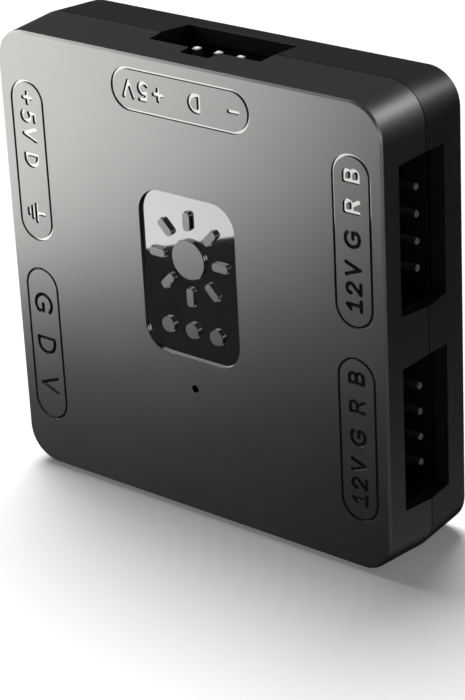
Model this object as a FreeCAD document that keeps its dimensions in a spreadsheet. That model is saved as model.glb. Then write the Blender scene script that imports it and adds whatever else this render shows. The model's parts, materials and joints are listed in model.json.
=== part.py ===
"""Lighting hub: a two-part drafted case round a small circuit board with five pin headers.

Sizes are in millimetres. The hub stands upright on its bottom wall: X runs to the right, the engraved
face looks towards -Y, and Z runs up from the lowest edge of the case. Inside the functions most places
are given in the case's own frame, which lies on the parting plane at the middle of the case.
"""
import FreeCAD, Part
import collections
import math
import os
import Sketcher

SIZES = [
    ("case_width", 45.5, "case width at the parting line"),
    ("case_height", 45.5, "case height at the parting line"),
    ("front_depth", 5.85, "front face to parting line"),
    ("rear_depth", 6.1, "parting line to rear face"),
    ("corner_radius", 3.7, "outer corner radius at the parting line"),
    ("draft", 4, "lean of the side walls, in degrees"),
    ("front_bevel", 0.2, "bevel round the front face"),
    ("rear_bevel", 0.4, "bevel round the rear face"),
    ("side_wall", 1.6, "side wall thickness"),
    ("front_wall", 1.4, "front wall thickness"),
    ("rear_wall", 1.0, "rear wall thickness"),
    ("seam_gap", 0.1, "width of the seam between the shells"),
    ("lip_height", 0.8, "height of the locating lip on the rear shell"),
    ("lip_width", 0.7, "thickness of the locating lip"),
    ("lip_gap", 0.1, "clearance round the locating lip"),
    ("screw_inset", 2.8, "screw axis to the side of the case"),
    ("post_diameter", 3.0, "screw post diameter"),
    ("screw_core", 1.2, "screw shank diameter, and bore of the front posts"),
    ("screw_clearance", 0.15, "room round the shank and the head"),
    ("screw_head", 2.2, "screw head diameter"),
    ("head_height", 0.9, "screw head height"),
    ("head_sink", 0.4, "screw head below the rear face"),
    ("thread_length", 2.8, "grip of the screw in the front post"),
    ("bore_spare", 0.3, "bore depth past the end of the screw"),
    ("cross_length", 1.3, "length of the screw's cross recess"),
    ("cross_width", 0.35, "width of the screw's cross recess"),
    ("cross_depth", 0.5, "depth of the screw's cross recess"),
    ("port_shift", 0.275, "side port past the midpoint between the case's middle and a screw post"),
    ("port_length", 14.5, "side port length at the parting line"),
    ("port_front", 3.7, "side port from the parting line forwards"),
    ("port_rear", 2.95, "side port from the parting line backwards"),
    ("top_length", 13.3, "top port length at the parting line"),
    ("top_front", 2.1, "top port from the parting line forwards"),
    ("top_rear", 3.5, "top port from the parting line backwards"),
    ("key_width", 3.9, "width of the top port's key notch"),
    ("key_front", 3.5, "key notch from the parting line forwards"),
    ("housing_gap", 0.1, "clearance between a housing and the case"),
    ("housing_wall", 0.8, "end wall of a housing"),
    ("mating_depth", 5.4, "depth of a housing's socket"),
    ("housing_back", 1.8, "back wall of a housing"),
    ("pin_pitch", 2.54, "pin spacing"),
    ("pin_size", 0.64, "pin thickness"),
    ("pin_row", 0.05, "pin row in front of the parting line"),
    ("round_recess", 1.0, "round pin tips below the wall"),
    ("square_recess", 0.85, "square pin tips below the wall"),
    ("pin_point", 0.12, "bevel on a pin's tip"),
    ("pin_bend", 0.7, "bend radius of a pin"),
    ("tail_offset", 1.0, "pin tail behind its housing"),
    ("tail_reach", 0.15, "pin tail past the board"),
    ("tail_bore", 1.0, "board hole for a pin tail"),
    ("board_thickness", 0.8, "circuit board thickness"),
    ("board_gap", 0.3, "circuit board to rear wall"),
    ("board_clearance", 0.25, "circuit board to side walls"),
    ("board_corner", 5.6, "cut across the board's corners"),
    ("rest_diameter", 3.0, "diameter of the pads under the board"),
    ("rest_x", 15.5, "board rests, from the middle across"),
    ("rest_z", 16.6, "board rests, from the middle up"),
    ("pill_length", 16.2, "legend outline length"),
    ("pill_width", 4.2, "legend outline width"),
    ("pill_groove", 0.25, "width of the legend outline's groove"),
    ("pill_inset", 3.75, "middle of a legend to the side of the case"),
    ("legend_height", 1.9, "height of the small letters"),
    ("legend_large", 2.45, "height of the large letters"),
    ("legend_stroke", 0.38, "width of the letters' strokes"),
    ("legend_depth", 0.14, "depth of the letters and outlines"),
    ("emblem_width", 11.4, "emblem recess width"),
    ("emblem_height", 16.2, "emblem recess height"),
    ("emblem_radius", 2.6, "emblem recess corner radius"),
    ("emblem_rise", 1.7, "emblem above the middle of the face"),
    ("emblem_depth", 0.5, "emblem recess depth"),
    ("inlay_thickness", 0.15, "inlay plate thickness"),
    ("inlay_gap", 0.05, "clearance round the inlay plate"),
    ("sun_rise", 1.9, "sun sign above the middle of the emblem"),
    ("sun_diameter", 3.8, "disc of the sun sign"),
    ("ray_ring", 3.75, "middle of a ray to the middle of the disc"),
    ("ray_length", 1.8, "length of a ray"),
    ("ray_width", 0.8, "width of a ray"),
    ("ray_round", 0.32, "round on a ray's corners"),
    ("dot_diameter", 1.5, "diameter of the three dots"),
    ("dot_pitch", 2.9, "spacing of the three dots"),
    ("dot_drop", 5.2, "dots below the middle of the emblem"),
    ("pinhole_diameter", 0.8, "lamp pinhole"),
    ("pinhole_rise", 13.35, "lamp pinhole above the bottom of the case"),
    ("tube_diameter", 2.4, "light tube behind the pinhole"),
    ("lamp_gap", 0.3, "light tube to lamp"),
    ("pad_side", 26, "mounting pad width and height"),
    ("pad_radius", 3, "mounting pad corner radius"),
    ("pad_thickness", 0.5, "mounting pad thickness"),
    ("chip_width", 3.9, "controller body width"),
    ("chip_height", 1.45, "controller body thickness"),
    ("chip_length", 9.9, "controller body length"),
    ("chip_lift", 0.15, "controller body above the board"),
    ("chip_rise", 1.0, "controller above the middle of the board"),
    ("lead_pitch", 1.27, "controller lead spacing"),
    ("lead_width", 0.4, "controller lead width"),
    ("lead_thickness", 0.2, "controller lead thickness"),
    ("lead_shoulder", 0.3, "controller lead, from the body to the bend"),
    ("lead_foot", 0.5, "controller lead, length of the foot"),
    ("transistor_width", 1.3, "transistor body width"),
    ("transistor_height", 1.0, "transistor thickness"),
    ("transistor_length", 2.9, "transistor body length"),
    ("transistor_pitch", 3.4, "transistor spacing"),
    ("transistor_offset", 3.0, "transistors to the pin tails"),
    ("driver_shift", 1.8, "transistors and resistors, from their port towards the middle of the board"),
    ("leg_length", 0.55, "leg of a transistor or regulator, outside the body"),
    ("leg_width", 0.4, "width of those legs"),
    ("leg_thickness", 0.15, "thickness of those legs"),
    ("leg_pitch", 0.95, "spacing of those legs"),
    ("resistor_length", 1.6, "chip resistor length"),
    ("resistor_width", 0.8, "chip resistor width"),
    ("resistor_height", 0.45, "chip resistor thickness"),
    ("resistor_pitch", 2.4, "chip resistor spacing"),
    ("resistor_offset", 6.2, "chip resistors to the pin tails"),
    ("ceramic_length", 2.0, "ceramic capacitor length"),
    ("ceramic_width", 1.25, "ceramic capacitor width"),
    ("ceramic_height", 1.0, "ceramic capacitor thickness"),
    ("ceramic_x", 6.3, "middle of the ceramic capacitors, from the middle across"),
    ("ceramic_z", 4.5, "middle of the ceramic capacitors, from the middle up"),
    ("ceramic_step", 2.8, "ceramic capacitor spacing"),
    ("can_diameter", 6.3, "capacitor can diameter"),
    ("can_height", 4.9, "capacitor can height"),
    ("can_edge", 0.5, "round on the capacitor can"),
    ("base_side", 6.6, "capacitor base width"),
    ("base_height", 0.6, "capacitor base thickness"),
    ("base_radius", 0.8, "capacitor base corner radius"),
    ("can_output_x", 4.1, "outlet capacitor, from the middle to the right"),
    ("can_output_rise", 6.75, "outlet capacitor above the bottom of the case"),
    ("can_input_offset", 5.4, "inlet capacitor to the left pin tails"),
    ("can_input_rise", 15.35, "inlet capacitor above the bottom of the case"),
    ("coil_side", 6.0, "inductor width"),
    ("coil_height", 3.0, "inductor thickness"),
    ("coil_radius", 1.2, "inductor corner radius"),
    ("coil_x", 6.6, "inductor, from the middle to the left"),
    ("coil_rise", 7.35, "inductor above the bottom of the case"),
    ("regulator_width", 1.6, "regulator body width"),
    ("regulator_x", 1.4, "regulator, from the middle to the left"),
    ("regulator_rise", 9.75, "regulator above the bottom of the case"),
    ("diode_width", 2.5, "diode body width"),
    ("diode_height", 2.1, "diode thickness"),
    ("diode_length", 3.6, "diode body length"),
    ("diode_tab", 0.35, "diode end tab, outside the body"),
    ("diode_x", 1.4, "diode, from the middle to the left"),
    ("diode_rise", 5.05, "diode above the bottom of the case"),
    ("lamp_length", 2.0, "lamp length"),
    ("lamp_width", 1.25, "lamp width"),
    ("lamp_base", 0.4, "lamp base thickness"),
    ("lamp_lens", 0.4, "lamp lens thickness"),
    ("lamp_step", 0.25, "lamp base past its lens, at each end"),
]

# Planes and lines of the case's own frame, as expressions on the sheet
FRAME_Y = "((sizes.front_depth - sizes.rear_depth - sizes.pad_thickness) / 2)"
FRAME_Z = "(sizes.case_height / 2)"
FRONT_INSIDE = "(sizes.front_wall - sizes.front_depth)"
REAR_INSIDE = "(sizes.rear_depth - sizes.rear_wall)"
BOARD_REAR = f"({REAR_INSIDE} - sizes.board_gap)"
BOARD_FRONT = f"({BOARD_REAR} - sizes.board_thickness)"
POST_MEET = "(-sizes.lip_height - sizes.lip_gap)"
HEAD_SEAT = "(sizes.rear_depth - sizes.head_sink - sizes.head_height)"
SCREW_X = "(sizes.case_width / 2 - sizes.screw_inset)"
SCREW_Z = "(sizes.case_height / 2 - sizes.screw_inset)"
WALL_LEAN = "(max(sizes.front_depth; sizes.rear_depth) * tan(sizes.draft))"
POST_EDGE = "(sizes.case_height / 2 - sizes.screw_inset - sizes.post_diameter / 2)"
PORT_RISE = f"({POST_EDGE} / 2 + sizes.port_shift)"
BOTTOM = "(-sizes.case_height / 2)"
PINHOLE_Z = f"({BOTTOM} + sizes.pinhole_rise)"
LAMP_TOP = f"({BOARD_FRONT} - sizes.lamp_base - sizes.lamp_lens)"
EMBLEM_FLOOR = "(sizes.emblem_depth - sizes.front_depth)"

# The same for a port: X runs outwards through the wall from the parting line, Z along the pin row
MOUTH_X = f"(-sizes.side_wall - {WALL_LEAN} - sizes.housing_gap)"
FLOOR_X = f"({MOUTH_X} - sizes.mating_depth)"
BACK_X = f"({FLOOR_X} - sizes.housing_back)"
TAIL_X = f"({BACK_X} - sizes.tail_offset)"
TAIL_END = f"({BOARD_REAR} + sizes.tail_reach)"

# Turn of each wall's outward direction about Y, in degrees from +X, and the wall's place across the case
RIGHT, TOP, LEFT = 0, -90, 180
WALL_X = {RIGHT: "sizes.case_width / 2", TOP: "0", LEFT: "-sizes.case_width / 2"}

# A port's cutter reaches two wall thicknesses to each side of the wall's outer edge
CUTTER_WIDTH = "(4 * sizes.side_wall)"

# Pins stand at these places along their row, in pin spacings from its middle
Port = collections.namedtuple("Port", "name wall height pins form")
FOUR_PINS = (-1.5, -0.5, 0.5, 1.5)
THREE_PINS = (-1, 0, 1)
BLANKED_ROW = (-1.5, -0.5, 1.5)
TOP_PORT = Port("top", TOP, "sizes.case_height / 2", THREE_PINS, "square_pin")
PORTS = [
    Port("right_upper", RIGHT, PORT_RISE, FOUR_PINS, "round_pin"),
    Port("right_lower", RIGHT, f"-{PORT_RISE}", FOUR_PINS, "round_pin"),
    Port("left_upper", LEFT, PORT_RISE, BLANKED_ROW, "square_pin"),
    Port("left_lower", LEFT, f"-{PORT_RISE}", THREE_PINS, "square_pin"),
    TOP_PORT,
]

SUN_RAYS = 8
LEADS_PER_SIDE = 8

# Letter widths and strokes in a box one unit high: straight runs are pairs of points, bends are three
SIGNS = {
    "1": (0.6, [
        [((0.05, 0.75), (0.32, 1)), ((0.32, 1), (0.32, 0))],
        [((0, 0), (0.6, 0))],
    ]),
    "2": (0.62, [
        [((0.02, 0.7), (0.3, 1), (0.55, 0.58)), ((0.55, 0.58), (0, 0)), ((0, 0), (0.62, 0))],
    ]),
    "5": (0.62, [
        [((0.58, 1), (0.12, 1)), ((0.12, 1), (0.06, 0.55)), ((0.06, 0.55), (0.62, 0.32), (0, 0.1))],
    ]),
    "V": (0.76, [
        [((0, 1), (0.38, 0)), ((0.38, 0), (0.76, 1))],
    ]),
    "G": (0.88, [
        [((0.86, 0.84), (0, 0.5), (0.86, 0.16)), ((0.86, 0.16), (0.86, 0.46)), ((0.86, 0.46), (0.5, 0.46))],
    ]),
    "R": (0.68, [
        [((0, 0), (0, 1)), ((0, 1), (0.4, 1)), ((0.4, 1), (0.65, 0.75), (0.4, 0.5))],
        [((0, 0.5), (0.4, 0.5)), ((0.4, 0.5), (0.68, 0))],
    ]),
    "B": (0.66, [
        [((0, 0), (0, 1)), ((0, 1), (0.38, 1)), ((0.38, 1), (0.62, 0.76), (0.38, 0.52))],
        [((0, 0.52), (0.4, 0.52)), ((0.4, 0.52), (0.66, 0.26), (0.4, 0)), ((0.4, 0), (0, 0))],
    ]),
    "D": (0.74, [
        [((0, 0), (0, 1)), ((0, 1), (0.24, 1)), ((0.24, 1), (0.74, 0.5), (0.24, 0)), ((0.24, 0), (0, 0))],
    ]),
    "+": (0.7, [
        [((0, 0.5), (0.7, 0.5))],
        [((0.35, 0.15), (0.35, 0.85))],
    ]),
    "-": (0.7, [
        [((0, 0.5), (0.7, 0.5))],
    ]),
    "earth": (1.15, [
        [((0.575, 1.2), (0.575, 0.55))],
        [((0, 0.55), (1.15, 0.55))],
        [((0.2, 0.22), (0.95, 0.22))],
        [((0.4, -0.1), (0.75, -0.1))],
    ]),
}

# Each legend: middle across and up, turn, letter height, and its signs with their places in letter heights
STRIP_SIGNS = (("1", -3.1), ("2", -2.26), ("V", -1.31), ("G", 0.13), ("R", 1.74), ("B", 3.22))
LEGENDS = [
    ("right", "upper", 90, "legend_height", STRIP_SIGNS),
    ("right", "lower", 90, "legend_height", STRIP_SIGNS),
    ("left", "upper", -90, "legend_height",
     (("+", -3.33), ("5", -2.35), ("V", -1.42), ("D", -0.05), ("earth", 2.76))),
    ("left", "lower", -90, "legend_large",
     (("G", -1.78), ("D", 0.06), ("V", 1.78))),
    ("middle", "top", 180, "legend_height",
     (("-", -3.3), ("D", -0.91), ("+", 1.3), ("5", 2.25), ("V", 3.17))),
]

doc = FreeCAD.newDocument("lighting_hub")
sheet = doc.addObject("Spreadsheet::Sheet", "sizes")
nodes = []


def fill_sheet():
    """Write every driving size into the sheet under its own name."""
    for row, (alias, value, meaning) in enumerate(SIZES, 1):
        sheet.set(f"A{row}", alias)
        sheet.set(f"B{row}", str(value))
        sheet.setAlias(f"B{row}", alias)
        sheet.set(f"C{row}", meaning)
    doc.recompute()


def size(alias):
    """Return a driving size as a number."""
    return float(getattr(sheet, alias))


def value(expression):
    """Return an expression on the sheet as a number."""
    return float(sheet.evalExpression(expression))


def bind(item, **expressions):
    """Bind properties to expressions on the sheet; a double underscore stands for a dot."""
    for name, expression in expressions.items():
        item.setExpression(name.replace("__", "."), expression)


def place(item, x="0", y="0", z="0", frame=True):
    """Bind an object's place, in the case's frame or in the object's own."""
    bind(
        item,
        Placement__Base__x=x,
        Placement__Base__y=f"{FRAME_Y} + ({y})" if frame else y,
        Placement__Base__z=f"{FRAME_Z} + ({z})" if frame else z,
    )


def keep(item, label):
    """Name an object as a piece of the hub."""
    item.Label = label
    nodes.append(item)
    return item


def new_body(name):
    """Make an empty body."""
    return doc.addObject("PartDesign::Body", name)


def new_sketch(body, name, plane="XZ_Plane", x="0", y="0", lift="0"):
    """Attach a sketch to an origin plane, moved within the plane and along its normal."""
    sketch = body.newObject("Sketcher::SketchObject", name)
    support = [item for item in body.Origin.OriginFeatures if item.Role == plane][0]
    sketch.AttachmentSupport = [(support, "")]
    sketch.MapMode = "FlatFace"
    bind(
        sketch,
        AttachmentOffset__Base__x=x,
        AttachmentOffset__Base__y=y,
        AttachmentOffset__Base__z=lift,
    )
    return sketch


def face_sketch(body, name, depth, x="0", z="0"):
    """Attach a sketch parallel to the face at a depth behind the parting plane."""
    return new_sketch(body, name, x=x, y=z, lift=f"-({depth})")


def dimension(sketch, constraint, name, expression):
    """Add a constraint whose value is bound to the sheet."""
    index = sketch.addConstraint(constraint)
    sketch.renameConstraint(index, name)
    sketch.setExpression(f"Constraints.{name}", expression)


def vector(x, y):
    """Return a point of a sketch."""
    return FreeCAD.Vector(x, y, 0)


def add_rectangle(sketch, wide, tall, tag=""):
    """Draw a rectangle round the sketch's origin."""
    first = sketch.GeometryCount
    half_x = value(wide) / 2
    half_y = value(tall) / 2
    corners = [
        vector(-half_x, -half_y),
        vector(half_x, -half_y),
        vector(half_x, half_y),
        vector(-half_x, half_y),
    ]
    for start, end in zip(corners, corners[1:] + corners[:1]):
        sketch.addGeometry(Part.LineSegment(start, end))
    bottom, right, top, left = range(first, first + 4)
    for line, following in ((bottom, right), (right, top), (top, left), (left, bottom)):
        sketch.addConstraint(Sketcher.Constraint("Coincident", line, 2, following, 1))
    for line in (bottom, top):
        sketch.addConstraint(Sketcher.Constraint("Horizontal", line))
    for line in (right, left):
        sketch.addConstraint(Sketcher.Constraint("Vertical", line))
    sketch.addConstraint(Sketcher.Constraint("Symmetric", bottom, 1, top, 1, -1, 1))
    dimension(sketch, Sketcher.Constraint("DistanceX", bottom, 1, bottom, 2, 2 * half_x), f"wide{tag}", wide)
    dimension(sketch, Sketcher.Constraint("DistanceY", right, 1, right, 2, 2 * half_y), f"tall{tag}", tall)


def add_rounded_rectangle(sketch, wide, tall, radius, tag=""):
    """Draw a rectangle with round corners round the sketch's origin."""
    first = sketch.GeometryCount
    round_off = value(radius)
    flat_x = value(wide) / 2 - round_off
    flat_y = value(tall) / 2 - round_off
    quarter = math.pi / 2
    centres = [
        vector(flat_x, -flat_y),
        vector(flat_x, flat_y),
        vector(-flat_x, flat_y),
        vector(-flat_x, -flat_y),
    ]
    arcs = []
    for turn, centre in enumerate(centres, -1):
        circle = Part.Circle(centre, FreeCAD.Vector(0, 0, 1), round_off)
        arcs.append(Part.ArcOfCircle(circle, turn * quarter, (turn + 1) * quarter))
    for arc, following in zip(arcs, arcs[1:] + arcs[:1]):
        sketch.addGeometry(arc)
        sketch.addGeometry(Part.LineSegment(arc.EndPoint, following.StartPoint))
    drawn = sketch.GeometryCount - first
    for step in range(drawn):
        here = first + step
        after = first + (step + 1) % drawn
        sketch.addConstraint(Sketcher.Constraint("Tangent", here, 2, after, 1))
    right, top, left, bottom = (first + step for step in (1, 3, 5, 7))
    for line in (right, left):
        sketch.addConstraint(Sketcher.Constraint("Vertical", line))
    for line in (top, bottom):
        sketch.addConstraint(Sketcher.Constraint("Horizontal", line))
    for step in (2, 4, 6):
        sketch.addConstraint(Sketcher.Constraint("Equal", first, first + step))
    sketch.addConstraint(Sketcher.Constraint("Symmetric", first, 3, first + 4, 3, -1, 1))
    dimension(sketch, Sketcher.Constraint("Radius", first, round_off), f"round{tag}", radius)
    dimension(sketch, Sketcher.Constraint("DistanceX", left, 1, right, 1, value(wide)), f"wide{tag}", wide)
    dimension(sketch, Sketcher.Constraint("DistanceY", bottom, 1, top, 1, value(tall)), f"tall{tag}", tall)


def add_circle(sketch, diameter):
    """Draw a circle round the sketch's origin."""
    circle = Part.Circle(vector(0, 0), FreeCAD.Vector(0, 0, 1), value(diameter) / 2)
    index = sketch.addGeometry(circle)
    sketch.addConstraint(Sketcher.Constraint("Coincident", index, 3, -1, 1))
    dimension(sketch, Sketcher.Constraint("Diameter", index, value(diameter)), "across", diameter)


def extrude(body, kind, name, sketch, length, rearwards, taper="0"):
    """Pad or pocket a sketch by a length, towards the rear or the front of the hub."""
    feature = body.newObject(f"PartDesign::{kind}", name)
    feature.Profile = sketch
    feature.Reversed = rearwards if kind == "Pad" else not rearwards
    bind(feature, Length=length, TaperAngle=taper)
    before = body.Shape.Volume if kind == "Pocket" else 0
    doc.recompute()
    if kind == "Pocket" and not feature.Shape.Volume < before:
        raise RuntimeError(f"{name} cuts nothing")
    return feature


def pad(body, name, sketch, length, rearwards=False, taper="0"):
    """Raise a sketch into a solid."""
    return extrude(body, "Pad", name, sketch, length, rearwards, taper)


def pocket(body, name, sketch, length, rearwards=False, taper="0"):
    """Sink a sketch into a solid."""
    return extrude(body, "Pocket", name, sketch, length, rearwards, taper)


def edges_on_plane(shape, axis, level):
    """Return the names of the edges that lie in a plane square to an axis."""
    low, high = f"{axis}Min", f"{axis}Max"
    found = []
    for number, edge in enumerate(shape.Edges, 1):
        box = edge.BoundBox
        if abs(getattr(box, low) - level) < 1e-4 and abs(getattr(box, high) - level) < 1e-4:
            found.append(f"Edge{number}")
    return found


def dress(body, kind, name, base, edges, width):
    """Bevel or round some edges of a feature."""
    feature = body.newObject(f"PartDesign::{kind}", name)
    feature.Base = (base, edges)
    bind(feature, **{"Size" if kind == "Chamfer" else "Radius": width})
    doc.recompute()
    return feature


def copies(name, master, places, turns=None):
    """Join linked copies of a master piece into one group; places are in the group's own frame."""
    links = []
    for number, (x, y, z) in enumerate(places):
        link = doc.addObject("App::Link", f"{name}_{number + 1}")
        link.LinkedObject = master
        link.LinkTransform = True
        if turns:
            link.Placement.Rotation = FreeCAD.Rotation(FreeCAD.Vector(0, 1, 0), turns[number])
        place(link, x, y, z, frame=False)
        links.append(link)
    group = doc.addObject("Part::Compound", name)
    group.Links = links
    return group


def block(name, wide, deep, tall, x="0", y="0", z="0"):
    """Make a block centred on X and Z whose front is at Y."""
    box = doc.addObject("Part::Box", name)
    bind(box, Length=wide, Width=deep, Height=tall)
    place(box, f"{x} - ({wide}) / 2", y, f"{z} - ({tall}) / 2", frame=False)
    return box


def fuse(name, pieces):
    """Join pieces into one solid."""
    joined = doc.addObject("Part::MultiFuse", name)
    joined.Shapes = pieces
    return joined


def cut(name, base, tool):
    """Cut one object from another."""
    result = doc.addObject("Part::Cut", name)
    result.Base = base
    result.Tool = tool
    return result


def four_corners(x, z):
    """Return the four mirrored places of a point of the face."""
    return [(f"{side} * {x}", f"{level} * {z}") for side in (-1, 1) for level in (-1, 1)]


def wall_cut(body, name, port, length, depth, rearwards):
    """Cut a port's drafted notch into a shell's wall, from the parting plane."""
    sketch = face_sketch(body, f"{name}_sketch", "0", WALL_X[port.wall], port.height)
    if port.wall == TOP:
        add_rectangle(sketch, length, CUTTER_WIDTH)
    else:
        add_rectangle(sketch, CUTTER_WIDTH, length)
    return pocket(body, name, sketch, depth, rearwards, "-sizes.draft")


def port_opening(port):
    """Return a port's length, and its depths in front of and behind the parting line."""
    if port.wall == TOP:
        return "sizes.top_length", "sizes.top_front", "sizes.top_rear"
    return "sizes.port_length", "sizes.port_front", "sizes.port_rear"


def outer_shell(body, name, start, depth, wall, rearwards):
    """Make a drafted, hollow half of the case, with its mouth at a depth."""
    outline = face_sketch(body, f"{name}_outline", start)
    add_rounded_rectangle(outline, "sizes.case_width", "sizes.case_height", "sizes.corner_radius")
    solid = pad(body, f"{name}_solid", outline, depth, rearwards, "-sizes.draft")
    level = value(f"({start}) + {1 if rearwards else -1} * ({depth})")
    bevel = "sizes.rear_bevel" if rearwards else "sizes.front_bevel"
    dress(body, "Chamfer", f"{name}_bevel", solid, edges_on_plane(solid.Shape, "Y", level), bevel)
    inside = face_sketch(body, f"{name}_inside", start)
    add_rounded_rectangle(
        inside,
        "sizes.case_width - 2 * sizes.side_wall",
        "sizes.case_height - 2 * sizes.side_wall",
        "sizes.corner_radius - sizes.side_wall",
    )
    pocket(body, f"{name}_hollow", inside, f"{depth} - {wall}", rearwards, "-sizes.draft")


def stand(body, name, diameter, x, z, start, end, rearwards):
    """Add a round post between two depths."""
    sketch = face_sketch(body, f"{name}_sketch", start, x, z)
    add_circle(sketch, diameter)
    length = f"({end}) - ({start})" if rearwards else f"({start}) - ({end})"
    return pad(body, name, sketch, length, rearwards)


def bore(body, name, diameter, x, z, start, length, rearwards):
    """Sink a round hole from a depth."""
    sketch = face_sketch(body, f"{name}_sketch", start, x, z)
    add_circle(sketch, diameter)
    return pocket(body, name, sketch, length, rearwards)


def make_front_shell():
    """Front half of the case: walls, lip rebate, ports, screw posts, light tube and engraving."""
    body = new_body("front_moulding")
    outer_shell(
        body, "front", "-sizes.seam_gap", "(sizes.front_depth - sizes.seam_gap)", "sizes.front_wall", False
    )
    rebate = face_sketch(body, "rebate_sketch", "0")
    shrink = "2 * (sizes.side_wall - sizes.lip_width - sizes.lip_gap)"
    add_rounded_rectangle(
        rebate,
        f"sizes.case_width - {shrink}",
        f"sizes.case_height - {shrink}",
        f"sizes.corner_radius - ({shrink}) / 2",
    )
    pocket(body, "rebate", rebate, f"-{POST_MEET}")
    root = f"({FRONT_INSIDE} - sizes.front_wall / 2)"
    for number, (x, z) in enumerate(four_corners(SCREW_X, SCREW_Z), 1):
        stand(body, f"front_post_{number}", "sizes.post_diameter", x, z, POST_MEET, root, False)
        depth = "sizes.thread_length + sizes.bore_spare"
        bore(body, f"thread_bore_{number}", "sizes.screw_core", x, z, POST_MEET, depth, False)
    tube_end = f"({LAMP_TOP} - sizes.lamp_gap)"
    stand(body, "light_tube", "sizes.tube_diameter", "0", PINHOLE_Z, tube_end, root, False)
    through = f"{tube_end} + sizes.front_depth"
    bore(body, "pinhole", "sizes.pinhole_diameter", "0", PINHOLE_Z, tube_end, through, False)
    for port in PORTS:
        length, front, _ = port_opening(port)
        wall_cut(body, f"{port.name}_front_cut", port, length, front, False)
    wall_cut(body, "key_notch", TOP_PORT, "sizes.key_width", "sizes.key_front", False)
    place(body)

    recess = emblem_form("emblem_cutter", "0", EMBLEM_FLOOR, "2 * sizes.emblem_depth")
    sunk = cut("front_with_emblem", body, recess)
    engraving = doc.addObject("Part::Feature", "legend_cutter")
    engraving.Shape = legend_solids()
    place(engraving)
    keep(cut("front_shell", sunk, engraving), "front_shell")


def make_rear_shell():
    """Rear half of the case: walls, locating lip, ports, screw posts and board rests."""
    body = new_body("rear_moulding")
    outer_shell(body, "rear", "0", "sizes.rear_depth", "sizes.rear_wall", True)
    lip = face_sketch(body, "lip_sketch", "0")
    for tag, inset in (("_out", "(sizes.side_wall - sizes.lip_width)"), ("_in", "sizes.side_wall")):
        add_rounded_rectangle(
            lip,
            f"sizes.case_width - 2 * {inset}",
            f"sizes.case_height - 2 * {inset}",
            f"sizes.corner_radius - {inset}",
            tag,
        )
    pad(body, "lip", lip, "sizes.lip_height")
    for port in PORTS:
        length, _, rear = port_opening(port)
        wall_cut(body, f"{port.name}_rear_cut", port, length, rear, True)
        wall_cut(body, f"{port.name}_lip_cut", port, length, "sizes.lip_height", False)
    root = f"({REAR_INSIDE} + sizes.rear_wall / 2)"
    for number, (x, z) in enumerate(four_corners(SCREW_X, SCREW_Z), 1):
        stand(body, f"rear_post_{number}", "sizes.post_diameter", x, z, POST_MEET, root, True)
        hole = "sizes.screw_core + 2 * sizes.screw_clearance"
        bore(body, f"shank_bore_{number}", hole, x, z, POST_MEET, f"sizes.rear_depth - {POST_MEET}", True)
        sink = "sizes.screw_head + 2 * sizes.screw_clearance"
        bore(body, f"head_bore_{number}", sink, x, z, "sizes.rear_depth",
             "sizes.head_sink + sizes.head_height", False)
    for number, (x, z) in enumerate(four_corners("sizes.rest_x", "sizes.rest_z"), 1):
        stand(body, f"board_rest_{number}", "sizes.rest_diameter", x, z, BOARD_REAR, root, True)
    place(body)
    keep(body, "rear_shell")


def emblem_form(name, gap, back, depth):
    """Plate of the emblem's outline with a sun sign and three dots left out of it."""
    body = new_body(name)
    rise = "sizes.emblem_rise"
    outline = face_sketch(body, f"{name}_outline", back, "0", rise)
    add_rounded_rectangle(
        outline,
        f"sizes.emblem_width - 2 * {gap}",
        f"sizes.emblem_height - 2 * {gap}",
        f"sizes.emblem_radius - {gap}",
    )
    pad(body, f"{name}_plate", outline, depth)
    sun = f"{rise} + sizes.sun_rise"
    bore(body, f"{name}_sun", f"sizes.sun_diameter + 2 * {gap}", "0", sun, back, depth, False)
    for number in (-1, 0, 1):
        bore(body, f"{name}_dot_{number + 2}", f"sizes.dot_diameter + 2 * {gap}",
             f"{number} * sizes.dot_pitch", f"{rise} - sizes.dot_drop", back, depth, False)
    axis = face_sketch(body, f"{name}_axis", back, "0", sun)
    ray = face_sketch(body, f"{name}_ray_sketch", back, "0", f"{sun} + sizes.ray_ring")
    add_rounded_rectangle(
        ray,
        f"sizes.ray_width + 2 * {gap}",
        f"sizes.ray_length + 2 * {gap}",
        f"sizes.ray_round + {gap}",
    )
    slot = pocket(body, f"{name}_ray", ray, depth)
    rays = body.newObject("PartDesign::PolarPattern", f"{name}_rays")
    rays.Originals = [slot]
    rays.Axis = (axis, ["N_Axis"])
    rays.Occurrences = SUN_RAYS
    body.Tip = rays
    place(body)
    return body


def stroke_path(points, scale, turn, middle):
    """Return one run of a letter's stroke as an edge on the face."""
    placed = []
    for across, up in points:
        u = across * scale
        v = up * scale
        placed.append(FreeCAD.Vector(
            middle[0] + u * math.cos(turn) - v * math.sin(turn),
            0,
            middle[1] + u * math.sin(turn) + v * math.cos(turn),
        ))
    if len(placed) == 2:
        return Part.LineSegment(*placed).toShape()
    return Part.Arc(*placed).toShape()


def groove_face(edges, width):
    """Return the flat band of a width along a path, with round ends."""
    if len(edges) == 1 and isinstance(edges[0].Curve, Part.Line):
        return straight_band(edges[0], width)
    wire = Part.Wire(edges)
    outer = wire.makeOffset2D(width / 2)
    if not wire.isClosed():
        return Part.Face(outer)
    return Part.Face(outer).cut(Part.Face(wire.makeOffset2D(-width / 2)))


def straight_band(edge, width):
    """Return a straight band with half-round ends."""
    start, end = (vertex.Point for vertex in edge.Vertexes)
    along = (end - start).normalize() * (width / 2)
    aside = FreeCAD.Vector(-along.z, 0, along.x)
    sides = [
        Part.LineSegment(start - aside, end - aside),
        Part.Arc(end - aside, end + along, end + aside),
        Part.LineSegment(end + aside, start + aside),
        Part.Arc(start + aside, start - along, start - aside),
    ]
    return Part.Face(Part.Wire([side.toShape() for side in sides]))


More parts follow.
